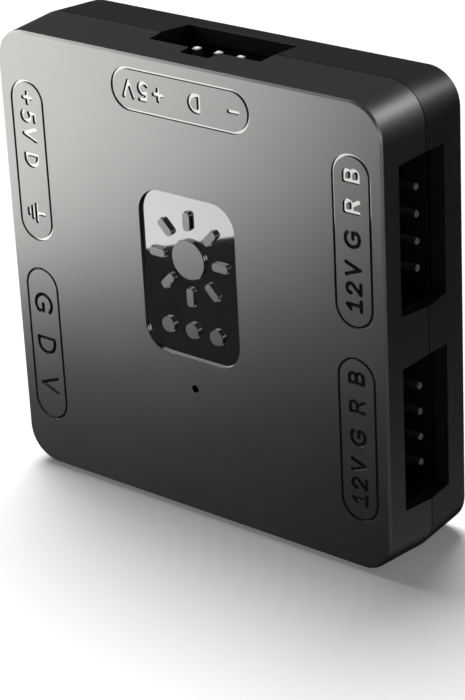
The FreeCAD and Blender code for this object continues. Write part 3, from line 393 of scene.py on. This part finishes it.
@dataclass(frozen=True)
class MirrorInlay:
    """Mirror polish of the face inlay, with faint wiping marks and a slight haze."""

    slot: str
    colour: Colour
    clean_roughness: float = 0.02
    wiped_roughness: float = 0.05
    metallic: float = 0.955
    edge_round: float = 0.05 * MM
    edge_tone: float = 0.8
    marks: float = 0.8 * MM
    marks_detail: float = 4.0
    marks_stretch: Triple = (6.0, 1.0, 1.0)

    def material(self) -> bpy.types.Material:
        """Build the finish: a mirror whose roughness varies along wiping marks.

        Returns:
            The material.
        """
        kit = NodeKit(self.slot)
        normal, edge = kit.edges(self.edge_round)
        marks = kit.noise(self.marks, self.marks_detail, self.marks_stretch)
        return kit.surface(
            Base_Color=kit.blend(edge, self.colour, scaled(self.colour, self.edge_tone)),
            Metallic=self.metallic,
            Roughness=kit.span(marks, self.clean_roughness, self.wiped_roughness),
            Normal=normal,
        )


@dataclass(frozen=True)
class Moulded:
    """Moulded plastic: header housings, chip bodies and the like."""

    slot: str
    colour: Colour
    roughness: float
    grain: float
    depth: float
    sheen: float = 0.5
    edge_round: float = 0.06 * MM
    edge_gloss: float = 0.12
    grain_detail: float = 4.0
    blotch_grains: float = 20.0
    blotch_detail: float = 2.0
    blotch_gain: float = 1.6
    blotch_share: float = 0.5
    blotch_spread: float = 0.06

    def material(self) -> bpy.types.Material:
        """Build the finish: an even grain, blotches in the gloss, and edges worn smooth.

        Returns:
            The material.
        """
        kit = NodeKit(self.slot)
        normal, edge = kit.edges(self.edge_round)
        grain = kit.noise(self.grain, self.grain_detail)
        blotch = kit.noise(self.blotch_grains * self.grain, self.blotch_detail)
        pale = scaled(self.colour, self.blotch_gain)
        gloss = kit.span(blotch, self.roughness - self.blotch_spread, self.roughness + self.blotch_spread)
        return kit.surface(
            Base_Color=kit.blend(kit.span(blotch, 0.0, self.blotch_share), self.colour, pale),
            Specular_IOR_Level=self.sheen,
            Roughness=kit.sum(Op.SUBTRACT, gloss, kit.sum(Op.MULTIPLY, edge, self.edge_gloss)),
            Normal=kit.bump(grain, self.depth, normal),
        )


@dataclass(frozen=True)
class Metal:
    """Drawn or blackened metal with marks along one axis."""

    slot: str
    colour: Colour
    roughness: float
    metallic: float
    stretch: Triple
    spread: float = 0.07
    marks: float = 0.25 * MM
    marks_detail: float = 4.0
    depth: float = 0.0015 * MM
    edge_round: float = 0.04 * MM
    dull_gain: float = 0.82
    edge_gain: float = 1.12

    def material(self) -> bpy.types.Material:
        """Build the finish: drawn marks in colour, gloss and height, and bright edges.

        Returns:
            The material.
        """
        kit = NodeKit(self.slot)
        normal, edge = kit.edges(self.edge_round)
        marks = kit.noise(self.marks, self.marks_detail, self.stretch)
        drawn = kit.blend(marks, scaled(self.colour, self.dull_gain), self.colour)
        return kit.surface(
            Base_Color=kit.blend(edge, drawn, scaled(self.colour, self.edge_gain)),
            Metallic=self.metallic,
            Roughness=kit.span(marks, self.roughness - self.spread, self.roughness + self.spread),
            Normal=kit.bump(marks, self.depth, normal),
        )


@dataclass(frozen=True)
class PinMetal:
    """Plated header pins: drawn stems, and duller bare metal where the tips were cut; a darker copy paints
    the shade of deep ports.
    """

    slot: str
    colour: Colour
    roughness: float
    # Colour of the cut tips; on the round pins it is nearly black as painted shade.
    bare: Colour
    bare_metallic: float
    side_tip: float
    top_tip: float
    bare_roughness: float = 0.5
    spread: float = 0.06
    marks: float = 0.25 * MM
    marks_detail: float = 4.0
    marks_stretch: Triple = (1.0, 4.0, 4.0)
    edge_round: float = 0.03 * MM
    dull_gain: float = 0.82

    def material(self) -> bpy.types.Material:
        """Build the finish: drawn marks on the stems, and duller tips past the given reach.

        Returns:
            The material.
        """
        kit = NodeKit(self.slot)
        normal, edge = kit.edges(self.edge_round)
        x, _, z = kit.axes()
        side = kit.sum(Op.ABOVE, kit.sum(Op.ABSOLUTE, x), self.side_tip)
        tip = kit.sum(Op.MAXIMUM, side, kit.sum(Op.ABOVE, z, self.top_tip))
        marks = kit.noise(self.marks, self.marks_detail, self.marks_stretch)
        drawn = kit.blend(marks, scaled(self.colour, self.dull_gain), self.colour)
        gloss = kit.span(marks, self.roughness - self.spread, self.roughness + self.spread)
        return kit.surface(
            Base_Color=kit.blend(tip, kit.blend(edge, drawn, self.colour), self.bare),
            Metallic=kit.span(tip, 1.0, self.bare_metallic),
            Roughness=kit.sum(Op.MAXIMUM, gloss, kit.sum(Op.MULTIPLY, tip, self.bare_roughness)),
            Normal=normal,
        )


@dataclass(frozen=True)
class Fired:
    """Ceramic, ferrite or resin: speckled, and some of it glazed."""

    slot: str
    colour: Colour
    fleck: Colour
    roughness: float
    grain: float
    coat: float = 0.0
    smoother: float = 0.05
    rougher: float = 0.1
    grain_detail: float = 5.0
    fleck_from: float = 0.45
    fleck_full: float = 0.7
    depth: float = 0.004 * MM
    edge_round: float = 0.05 * MM

    def material(self) -> bpy.types.Material:
        """Build the finish: flecks of a second colour under an uneven gloss.

        Returns:
            The material.
        """
        kit = NodeKit(self.slot)
        normal, _ = kit.edges(self.edge_round)
        fleck = kit.noise(self.grain, self.grain_detail)
        share = kit.ease(fleck, self.fleck_from, self.fleck_full)
        return kit.surface(
            Base_Color=kit.blend(share, self.colour, self.fleck),
            Coat_Weight=self.coat,
            Roughness=kit.span(fleck, self.roughness - self.smoother, self.roughness + self.rougher),
            Normal=kit.bump(fleck, self.depth, normal),
        )


@dataclass(frozen=True)
class SolderMask:
    """Green solder mask over copper tracks, with the laminate's pale core on the cut edge.

    Distances between tracks are shares of a cell of the pattern, which is as wide as some pitches.
    """

    slot: str
    colour: Colour
    track: Colour
    core: Colour
    half: float
    middle: float
    track_pitch: float = 1.27 * MM
    cell_pitches: float = 2.5
    track_every: float = 0.16
    track_from: float = 0.075
    track_full: float = 0.095
    track_depth: float = 0.02 * MM
    rim_from: float = 0.25 * MM
    rim_full: float = 0.15 * MM
    weave: float = 0.3 * MM
    mask_roughness: float = 0.32
    core_roughness: float = 0.75

    def material(self) -> bpy.types.Material:
        """Build the finish: square-cornered tracks showing through the mask, and a bare rim.

        Returns:
            The material.
        """
        kit = NodeKit(self.slot)
        x, _, z = kit.axes()
        cell = self.cell_pitches * self.track_pitch
        cells = kit.add("ShaderNodeTexVoronoi", Vector=kit.place, Scale=1.0 / cell)
        cells.distance = "CHEBYCHEV"
        cells.feature = "F1"
        rings = kit.sum(Op.PINGPONG, cells.outputs["Distance"], self.track_every)
        copper = kit.ease(rings, self.track_from, self.track_full)
        rise = kit.sum(Op.ABSOLUTE, kit.sum(Op.SUBTRACT, z, self.middle))
        reach = kit.sum(Op.MAXIMUM, kit.sum(Op.ABSOLUTE, x), rise)
        rim = kit.ease(reach, self.half - self.rim_from, self.half - self.rim_full)
        masked = kit.blend(copper, self.colour, self.track)
        bare = kit.blend(kit.noise(self.weave), self.core, self.track)
        return kit.surface(
            Base_Color=kit.blend(rim, masked, bare),
            Roughness=kit.span(rim, self.mask_roughness, self.core_roughness),
            Normal=kit.bump(copper, self.track_depth),
        )


@dataclass(frozen=True)
class FoamPad:
    """Dark foam with a smoother film on its rear face."""

    slot: str
    colour: Colour
    film_face: float
    film: float = 0.02 * MM
    film_relief: float = 0.25
    film_roughness: float = 0.55
    foam_roughness: float = 0.95
    cell: float = 0.22 * MM
    cell_depth: float = 0.06 * MM
    mottle: float = 2.5 * MM
    mottle_detail: float = 4.0
    mottle_gain: float = 1.7
    mottle_share: float = 0.6

    def material(self) -> bpy.types.Material:
        """Build the finish: open cells on the cut edge, which show faintly through the film.

        Returns:
            The material.
        """
        kit = NodeKit(self.slot)
        cells = kit.add("ShaderNodeTexVoronoi", Vector=kit.place, Scale=1.0 / self.cell)
        film = kit.ease(kit.axes()[1], self.film_face - self.film, self.film_face)
        mottle = kit.span(kit.noise(self.mottle, self.mottle_detail), 0.0, self.mottle_share)
        height = kit.sum(Op.MULTIPLY, cells.outputs["Distance"], kit.span(film, 1.0, self.film_relief))
        return kit.surface(
            Base_Color=kit.blend(mottle, self.colour, scaled(self.colour, self.mottle_gain)),
            Roughness=kit.span(film, self.foam_roughness, self.film_roughness),
            Normal=kit.bump(height, self.cell_depth),
        )


Finish = Union[SatinCase, MirrorInlay, Moulded, Metal, PinMetal, Fired, SolderMask, FoamPad]


def grid_faces(rows: int, columns: int, closed: bool) -> np.ndarray:
    """Quads of a grid of points, row by row.

    Args:
        rows: points along the first parameter.
        columns: points along the second.
        closed: whether the last column joins the first.

    Returns:
        One row of four point numbers for each quad.
    """
    across = np.arange(columns if closed else columns - 1)
    row, column = np.meshgrid(np.arange(rows - 1), across, indexing="ij")
    after = (column + 1) % columns
    near = row * columns
    far = near + columns
    quad = (near + column, near + after, far + after, far + column)
    return np.stack([part.ravel() for part in quad], axis=1)


def grid_object(name: str, patches: Sequence[np.ndarray], closed: bool) -> bpy.types.Object:
    """Make one mesh object from grids of points, and merge the points that meet at poles.

    Args:
        name: the piece's name.
        patches: arrays of rows by columns by 3, in metres in the part's frame.
        closed: whether each grid's columns close into a ring.

    Returns:
        The new object, at the origin.
    """
    points = []
    faces = []
    count = 0
    for patch in patches:
        rows, columns, _ = patch.shape
        points.append(patch.reshape(-1, 3))
        faces.append(grid_faces(rows, columns, closed) + count)
        count += rows * columns
    mesh = bpy.data.meshes.new(name)
    mesh.from_pydata(np.concatenate(points).tolist(), [], np.concatenate(faces).tolist())
    shape = bmesh.new()
    shape.from_mesh(mesh)
    bmesh.ops.remove_doubles(shape, verts=shape.verts, dist=MERGE)
    shape.to_mesh(mesh)
    shape.free()
    mesh.polygons.foreach_set("use_smooth", np.ones(len(mesh.polygons), dtype=bool))
    mesh.update()
    piece = bpy.data.objects.new(name, mesh)
    bpy.context.scene.collection.objects.link(piece)
    return piece


def close_ends(patch: np.ndarray) -> np.ndarray:
    """Close a tube of rings at both ends.

    Args:
        patch: a grid of points with one ring in each row.

    Returns:
        The grid with one more row at each end, drawn together in the middle of the end ring.
    """
    first = np.broadcast_to(patch[0].mean(axis=0), patch[:1].shape)
    last = np.broadcast_to(patch[-1].mean(axis=0), patch[:1].shape)
    return np.concatenate([first, patch, last])


def lathe(profile: np.ndarray, centre: Sequence[float], sides: int) -> np.ndarray:
    """Turn a profile about a line through the centre along Y.

    A point at angle a is centre + (r cos a, t, r sin a) for each (r, t) of the profile.

    Args:
        profile: rows of radius and place along Y.
        centre: a point on the axis.
        sides: points round the axis.

    Returns:
        A grid of points, one row for each of the profile's.
    """
    angle = np.linspace(0.0, 2.0 * np.pi, sides, endpoint=False)
    radius = profile[:, :1]
    along = np.broadcast_to(profile[:, 1:], (len(profile), sides))
    ring = np.stack([radius * np.cos(angle), along, radius * np.sin(angle)], axis=2)
    return ring + np.asarray(centre)


def attach(piece: bpy.types.Object, slot: str, materials: Materials) -> None:
    """Give a new piece its finish, its slot and its body, and report it.

    Args:
        piece: the new piece.
        slot: its material slot.
        materials: the materials by slot.
    """
    piece.data.materials.append(materials[slot])
    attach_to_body(piece, BODY)
    LOG.info("piece %s: %d faces", piece.name, len(piece.data.polygons))


def node_points(node: str) -> np.ndarray:
    """All points of a CAD node.

    Args:
        node: the CAD node.

    Returns:
        Rows of x, y and z, in metres.
    """
    mesh = frame["nodes"][node].data
    points = np.empty(3 * len(mesh.vertices), dtype=np.float32)
    mesh.vertices.foreach_get("co", points)
    return points.reshape(-1, 3).astype(float)


def solid_boxes(node: str, count: int) -> np.ndarray:
    """The boxes of a node's equal solids, which lie one after another in its mesh.

    Args:
        node: the CAD node.
        count: how many solids it holds.

    Returns:
        For each solid, its lowest and highest corner.
    """
    solids = node_points(node).reshape(count, -1, 3)
    return np.stack([solids.min(axis=1), solids.max(axis=1)], axis=1)


@dataclass
class Finishes:
    """Every material slot's finish, and which slot each CAD node takes."""

    side_cut: float = 0.10 * MM
    top_cut: float = 0.13 * MM

    def table(self) -> Dict[str, Finish]:
        """The finishes, with places taken from the frame.

        Returns:
            The finishes by slot.
        """
        board_low, board_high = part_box("circuit_board")
        pad_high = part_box("mounting_pad")[1]
        side_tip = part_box("right_upper_pins")[1].x - self.side_cut
        top_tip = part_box("top_pins")[1].z - self.top_cut
        rows: List[Finish] = [
            SatinCase("front_case", (0.40, 0.392, 0.382), roughness=0.41),
            SatinCase("rear_case", (0.28, 0.271, 0.262), roughness=0.38),
            MirrorInlay("inlay_polish", (0.43, 0.43, 0.425)),
            Moulded(
                "header_plastic", (0.006, 0.006, 0.006),
                roughness=0.5, grain=0.12 * MM, depth=0.004 * MM, sheen=0.15),
            PinMetal(
                "pin_plating", (0.62, 0.62, 0.61), roughness=0.30,
                bare=(0.85, 0.85, 0.84), bare_metallic=0.1, side_tip=side_tip, top_tip=top_tip),
            # Round pins deep in the side ports: darker plating is partly a duller finish, partly painted
            # shade; near-black tips are painted shade.
            PinMetal(
                "round_plating", (0.42, 0.42, 0.41), roughness=0.45,
                bare=(0.12, 0.12, 0.117), bare_metallic=0.3, side_tip=side_tip, top_tip=top_tip),
            SolderMask(
                "board_laminate", (0.010, 0.055, 0.028), track=(0.025, 0.12, 0.05), core=(0.42, 0.36, 0.2),
                half=board_high.x, middle=0.5 * (board_low.z + board_high.z)),
            Moulded(
                "chip_plastic", (0.030, 0.030, 0.032),
                roughness=0.55, grain=0.08 * MM, depth=0.003 * MM),
            Fired(
                "ferrite", (0.075, 0.075, 0.08), fleck=(0.14, 0.14, 0.145),
                roughness=0.5, grain=0.2 * MM),
            Metal(
                "can_aluminium", (0.80, 0.80, 0.82),
                roughness=0.28, metallic=1.0, stretch=(1.0, 6.0, 1.0)),
            Fired(
                "chip_ceramic", (0.42, 0.32, 0.22), fleck=(0.5, 0.42, 0.32),
                roughness=0.35, grain=0.15 * MM, coat=0.3),
            Fired(
                "resistor_ceramic", (0.045, 0.045, 0.05), fleck=(0.08, 0.08, 0.085),
                roughness=0.3, grain=0.1 * MM, coat=0.4),
            Fired(
                "lamp_resin", (0.85, 0.84, 0.78), fleck=(0.95, 0.92, 0.7),
                roughness=0.15, grain=0.4 * MM, coat=0.6),
            Metal(
                "screw_steel", (0.10, 0.10, 0.105),
                roughness=0.38, metallic=1.0, stretch=(1.0, 1.0, 1.0)),
            FoamPad("pad_foam", (0.030, 0.030, 0.031), film_face=pad_high.y),
        ]
        return {row.slot: row for row in rows}

    def dress(self) -> Materials:
        """Build the materials and give each CAD node its own.

        Returns:
            The materials by slot.
        """
        materials = {slot: finish.material() for slot, finish in self.table().items()}
        for row in frame["record"]["subparts"]:
            piece = frame["nodes"][row["node"]]
            piece.data.materials.clear()
            piece.data.materials.append(materials[row["material_slot"]])
            LOG.info("node %s: %s", row["node"], row["material_slot"])
        return materials


@dataclass
class ScrewThreads:
    """The thread-forming ridges of the four case screws."""

    core_radius: float = 0.6 * MM
    head_radius: float = 1.1 * MM
    ridge: float = 0.16 * MM
    sunk: float = 0.02 * MM
    pitch: float = 0.55 * MM
    flank_pitches: float = 0.3
    start: float = 0.35 * MM
    turns: float = 8.5
    steps: int = 36
    least_taper: float = 0.02

    def ridge_points(self, x: float, y: float, z: float) -> np.ndarray:
        """One helical ridge: a triangle carried along a screw line.

        At angle a the line is (R cos a, pitch a / 2 pi, R sin a), the triangle's foot lies a little
        inside the core, and its height eases from almost 0 over the first and the last turn.

        Args:
            x: the screw's axis.
            y: the tip's place along the axis.
            z: the screw's axis.

        Returns:
            A grid of points with the triangle's three corners in each row.
        """
        angle = np.linspace(0.0, 2.0 * np.pi * self.turns, int(self.turns * self.steps) + 1)
        taper = np.clip(np.minimum(angle, angle[-1] - angle) / (2.0 * np.pi), self.least_taper, 1.0)
        foot = np.full_like(angle, self.core_radius - self.sunk)
        radius = np.stack([foot, foot + (self.ridge + self.sunk) * taper, foot], axis=1)
        flanks = np.array([-1.0, 0.0, 1.0]) * self.flank_pitches * self.pitch
        climb = self.pitch * angle / (2.0 * np.pi)
        return np.stack([
            x + radius * np.cos(angle)[:, None],
            y + self.start + climb[:, None] + flanks * taper[:, None],
            z + radius * np.sin(angle)[:, None],
        ], axis=2)

    def build(self, materials: Materials) -> None:
        """Make the ridges as one piece on the screws.

        Args:
            materials: the materials by slot.
        """
        low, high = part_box("case_screws")
        columns = (low.x + self.head_radius, high.x - self.head_radius)
        rows = (low.z + self.head_radius, high.z - self.head_radius)
        patches = [close_ends(self.ridge_points(x, low.y, z)) for x in columns for z in rows]
        attach(grid_object("screw_threads", patches, True), "screw_steel", materials)


@dataclass
class PinSolder:
    """Solder fillets round the pins' tails on the back of the board."""

    pitch: float = 2.54 * MM
    foot: float = 0.75 * MM
    foot_inset: float = 0.98
    neck: float = 0.34 * MM
    height: float = 0.13 * MM
    tail_end: float = 0.05 * MM
    rings: int = 9
    sides: int = 24

    def tails(self, node: str) -> List[Tuple[float, float]]:
        """Where a row's tails come through the board.

        Args:
            node: the row of pins.

        Returns:
            The x and z of each tail's middle.
        """
        points = node_points(node)
        ends = points[points[:, 1] > points[:, 1].max() - self.tail_end][:, [0, 2]]
        run = ends[:, int(np.argmax(np.ptp(ends, axis=0)))]
        place = np.round((run - run.min()) / self.pitch)
        middles = []
        for step in np.unique(place):
            tail = ends[place == step]
            middles.append(tuple(0.5 * (tail.min(axis=0) + tail.max(axis=0))))
        return middles

    def fillet(self, x: float, z: float, board: float) -> np.ndarray:
        """One fillet: a hollow-sided cone whose radius falls from foot to neck as (1 - t) squared.

        Args:
            x: the tail's place across the board.
            z: the tail's place up the board.
            board: where the back of the board lies along Y.

        Returns:
            A grid of points, with the axis in its first and its last row.
        """
        step = np.linspace(0.0, 1.0, self.rings)
        radius = self.neck + (self.foot - self.neck) * (1.0 - step) ** 2
        base = np.array([[0.0, 0.0], [self.foot * self.foot_inset, 0.0]])
        cone = np.stack([radius, step * self.height], axis=1)
        top = np.array([[0.0, self.height]])
        return lathe(np.concatenate([base, cone, top]), (x, board, z), self.sides)[:, ::-1]

    def build(self, materials: Materials) -> None:
        """Make the fillets of all five rows as one piece.

        Args:
            materials: the materials by slot.
        """
        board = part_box("circuit_board")[1].y
        rows = [name for name in sorted(frame["nodes"]) if name.endswith("_pins")]
        patches = [self.fillet(x, z, board) for row in rows for x, z in self.tails(row)]
        attach(grid_object("pin_solder", patches, True), "pin_plating", materials)


@dataclass
class EndCaps:
    """Tinned end caps of the chip resistors and capacitors on the board."""

    chips: Tuple[Tuple[str, int], ...] = (("ceramic_capacitors", 6), ("chip_resistors", 6))
    wrap: float = 0.38 * MM
    proud: float = 0.02 * MM
    squareness: float = 0.25
    rows: int = 17
    columns: int = 32

    def sharpen(self, value: np.ndarray) -> np.ndarray:
        """Push a sine or cosine towards 1 or -1."""
        return np.sign(value) * np.abs(value) ** self.squareness

    def cap(self, low: np.ndarray, high: np.ndarray) -> np.ndarray:
        """A rounded block between two corners, as a superellipsoid.

        With s(v) = sign(v) |v| to the power of the squareness, a point is the middle plus half the
        size times (s(cos p) s(cos q), s(sin p), s(cos p) s(sin q)).

        Args:
            low: the lowest corner.
            high: the highest corner.

        Returns:
            A grid of points round the block.
        """
        lift = np.linspace(-0.5 * np.pi, 0.5 * np.pi, self.rows)[:, None]
        turn = np.linspace(0.0, 2.0 * np.pi, self.columns, endpoint=False)[None, :]
        form = np.stack([
            self.sharpen(np.cos(lift)) * self.sharpen(np.cos(turn)),
            self.sharpen(np.sin(lift)) * np.ones_like(turn),
            self.sharpen(np.cos(lift)) * self.sharpen(np.sin(turn)),
        ], axis=2)
        return (0.5 * (low + high) + 0.5 * (high - low) * form)[:, ::-1]

    def pair(self, low: np.ndarray, high: np.ndarray) -> List[np.ndarray]:
        """The two caps of one chip, at the ends of its longer side and as high as the chip's rear.

        Args:
            low: the chip's lowest corner.
            high: the chip's highest corner.

        Returns:
            A grid of points for each cap.
        """
        axis = 0 if high[0] - low[0] > high[2] - low[2] else 2
        spans = (
            (low[axis] - self.proud, low[axis] + self.wrap),
            (high[axis] - self.wrap, high[axis] + self.proud),
        )
        caps = []
        for start, end in spans:
            foot = low - self.proud
            head = high + self.proud
            head[1] = high[1]
            foot[axis] = start
            head[axis] = end
            caps.append(self.cap(foot, head))
        return caps

    def build(self, materials: Materials) -> None:
        """Make the caps of all the chips as one piece.

        Args:
            materials: the materials by slot.
        """
        patches = []
        for node, count in self.chips:
            for low, high in solid_boxes(node, count):
                patches.extend(self.pair(low, high))
        attach(grid_object("chip_end_caps", patches, True), "pin_plating", materials)


@dataclass
class Camera:
    """The camera of the studio picture, given by where it looks and from where."""

    target: Triple = (4.802 * MM, -6.225 * MM, 18.561 * MM)
    distance: float = 234.016 * MM
    azimuth: float = 40.6
    elevation: float = 24.25
    roll: float = -2.955
    lens: float = 131.56
    sensor: float = 36.0
    nearest: float = 5.0 * MM

    def build(self) -> None:
        """Set up the camera: level axes first, then the roll about the line of sight."""
        turn, tip, roll = (math.radians(angle) for angle in (self.azimuth, self.elevation, self.roll))
        back = Vector((math.sin(turn) * math.cos(tip), -math.cos(turn) * math.cos(tip), math.sin(tip)))
        right = Vector((math.cos(turn), math.sin(turn), 0.0))
        above = back.cross(right)
        rolled = right * math.cos(roll) + above * math.sin(roll)
        data = bpy.data.cameras.new("studio_camera")
        data.lens = self.lens
        data.sensor_width = self.sensor
        data.clip_start = self.nearest
        camera = bpy.data.objects.new("studio_camera", data)
        bpy.context.scene.collection.objects.link(camera)
        axes = Matrix((rolled, back.cross(rolled), back)).transposed()
        camera.matrix_world = Matrix.Translation(Vector(self.target) + back * self.distance) @ axes.to_4x4()
        bpy.context.scene.camera = camera


def show(piece: bpy.types.Object, seen: Seen) -> None:
    """Set which rays meet a piece of the studio.

    Args:
        piece: the floor or a card.
        seen: whether it shows to all rays or in reflections alone.
    """
    plain = seen is Seen.BY_ALL
    piece.visible_camera = plain
    piece.visible_diffuse = plain
    piece.visible_transmission = plain
    piece.visible_shadow = plain


@dataclass(frozen=True)
class Card:
    """A flat card that shows in reflections alone, with its corner and sides in millimetres.

    A point is corner + u across + v upward, for u and v from 0 to 1. The card glows on the side that
    the cross product of across and upward points to, and is clear from the other. Its levels are its
    brightness at the start and the end of upward.
    """

    name: str
    corner: Triple
    across: Triple
    upward: Triple
    levels: Tuple[float, float]
    rows: int = 5

    def material(self) -> bpy.types.Material:
        """Build the glow, which reads the level that each point of the card holds.

        Returns:
            The material.
        """
        kit = NodeKit(self.name)
        level = kit.add("ShaderNodeAttribute")
        level.attribute_name = "level"
        glow = kit.add("ShaderNodeEmission", Strength=level.outputs["Fac"])
        clear = kit.add("ShaderNodeBsdfTransparent")
        side = kit.add("ShaderNodeMixShader", Fac=kit.add("ShaderNodeNewGeometry").outputs["Backfacing"])
        kit.feed(side.inputs[1], glow.outputs[0])
        kit.feed(side.inputs[2], clear.outputs[0])
        kit.feed(kit.output.inputs["Surface"], side.outputs[0])
        return kit.material

    def build(self) -> None:
        """Make the card, give each point its level, and hide it from all but reflections."""
        u = np.array([0.0, 1.0])[None, :, None]
        v = np.linspace(0.0, 1.0, self.rows)[:, None, None]
        points = MM * (np.array(self.corner) + u * np.array(self.across) + v * np.array(self.upward))
        card = grid_object(self.name, [points], False)
        start, end = self.levels
        fade = np.broadcast_to(start + (end - start) * v[..., 0], points.shape[:2])
        values = card.data.attributes.new("level", "FLOAT", "POINT")
        values.data.foreach_set("value", fade.ravel().astype(np.float32))
        card.data.materials.append(self.material())
        show(card, Seen.IN_REFLECTIONS)


CARDS = (
    Card("front_softbox", (-90.7, 0.0, -0.4), (0.0, 0.0, 98.0), (65.8, -67.9, 5.1), (2.6, 1.1)),
    Card("far_flag", (130.0, -227.7, 0.0), (-154.9, 159.8, 0.0), (0.0, 0.0, 130.0), (0.006, 0.006)),
    Card("front_flag", (-158.9, 12.9, 0.3), (187.9, -193.7, 0.0), (118.5, 114.8, 0.0), (0.009, 0.009)),
    Card("near_flag", (62.0, -100.0, 0.4), (0.0, 300.0, 0.0), (-39.0, 0.0, 0.0), (0.0, 0.075)),
    Card("right_flag", (170.0, -100.0, 0.3), (0.0, 300.0, 0.0), (-108.0, 0.0, 0.0), (0.02, 0.0)),
    Card("right_wall_flag", (170.0, 200.0, 0.0), (0.0, -300.0, 0.0), (0.0, 0.0, 120.0), (0.0, 0.2)),
    Card("back_flag", (-60.0, 200.0, 0.0), (230.0, 0.0, 0.0), (0.0, 0.0, 90.0), (0.02, 0.02)),
    Card("left_flag", (-240.0, 70.0, 0.0), (180.0, 130.0, 0.0), (0.0, 0.0, 80.0), (0.03, 0.03)),
    Card("rim_softbox", (70.0, 125.0, 100.0), (60.0, -35.0, 0.0), (-16.0, -28.0, 46.0), (1.75, 1.75)),
)


@dataclass
class Studio:
    """Floor, light cards, key light and world round the hub."""

    cards: Tuple[Card, ...] = CARDS
    floor_radius: float = 1.6
    floor_ring: float = 0.3
    floor_sides: int = 96
    cove_height: float = 0.35
    cove_steps: int = 16
    floor_tone: Colour = (0.80, 0.80, 0.80)
    floor_lift: float = 0.12
    key_from: Triple = (-0.38, 0.26, 0.888)
    key_strength: float = 4.0
    key_angle: float = 40.0
    world_level: float = 0.075

    def floor_paint(self) -> bpy.types.Material:
        """Build the pale paint, lifted a little where the camera, a mirror or glass sees it.

        Returns:
            The material.
        """
        kit = NodeKit("studio_floor")
        rays = kit.add("ShaderNodeLightPath").outputs
        bounced = kit.sum(Op.MAXIMUM, rays["Is Glossy Ray"], rays["Is Transmission Ray"])
        seen = kit.sum(Op.MAXIMUM, rays["Is Camera Ray"], bounced)
        lift = kit.add("ShaderNodeEmission", Strength=kit.sum(Op.MULTIPLY, seen, self.floor_lift))
        paint = kit.add("ShaderNodeBsdfDiffuse", Color=self.floor_tone)
        both = kit.add("ShaderNodeAddShader")
        kit.feed(both.inputs[0], paint.outputs[0])
        kit.feed(both.inputs[1], lift.outputs[0])
        kit.feed(kit.output.inputs["Surface"], both.outputs[0])
        return kit.material

    def floor(self) -> None:
        """Pale floor that turns up into a low cove far out.

        The profile runs flat to the radius and then climbs a quarter round to the cove's height.
        """
        flat = np.array([[0.0, 0.0], [self.floor_ring, 0.0], [self.floor_radius, 0.0]])
        bend = np.linspace(0.0, 0.5 * np.pi, self.cove_steps + 1)[1:]
        rise = np.stack([
            self.floor_radius + self.cove_height * np.sin(bend),
            self.cove_height * (1.0 - np.cos(bend)),
        ], axis=1)
        ring = lathe(np.concatenate([flat, rise]), (0.0, 0.0, 0.0), self.floor_sides)
        floor = grid_object("studio_floor", [ring[..., [0, 2, 1]]], True)
        floor.data.materials.append(self.floor_paint())
        show(floor, Seen.BY_ALL)

    def key(self) -> None:
        """Broad key light from behind, so that the soft shadow falls towards the camera."""
        data = bpy.data.lights.new("key_light", "SUN")
        data.energy = self.key_strength
        data.angle = math.radians(self.key_angle)
        lamp = bpy.data.objects.new("key_light", data)
        bpy.context.scene.collection.objects.link(lamp)
        lamp.matrix_world = Vector(self.key_from).to_track_quat("Z", "Y").to_matrix().to_4x4()
        lamp.visible_glossy = False

    def world(self) -> None:
        """Even dim surroundings."""
        world = bpy.data.worlds.new("studio_world")
        world.use_nodes = True
        backdrop = world.node_tree.nodes["Background"]
        backdrop.inputs["Color"].default_value = (1.0, 1.0, 1.0, 1.0)
        backdrop.inputs["Strength"].default_value = self.world_level
        bpy.context.scene.world = world

    def build(self) -> None:
        """Set up the floor, the cards, the key light and the world."""
        self.floor()
        for card in self.cards:
            card.build()
        self.key()
        self.world()
        bpy.context.scene.view_settings.view_transform = "Standard"


def main() -> None:
    """Dress the nodes, add the fine pieces, set up the studio and note the sizes."""
    logging.basicConfig(level=logging.INFO, format="%(name)s: %(message)s")
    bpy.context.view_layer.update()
    materials = Finishes().dress()
    for group in (ScrewThreads(), PinSolder(), EndCaps()):
        group.build(materials)
    Studio().build()
    Camera().build()


if __name__ == "__main__":
    main()
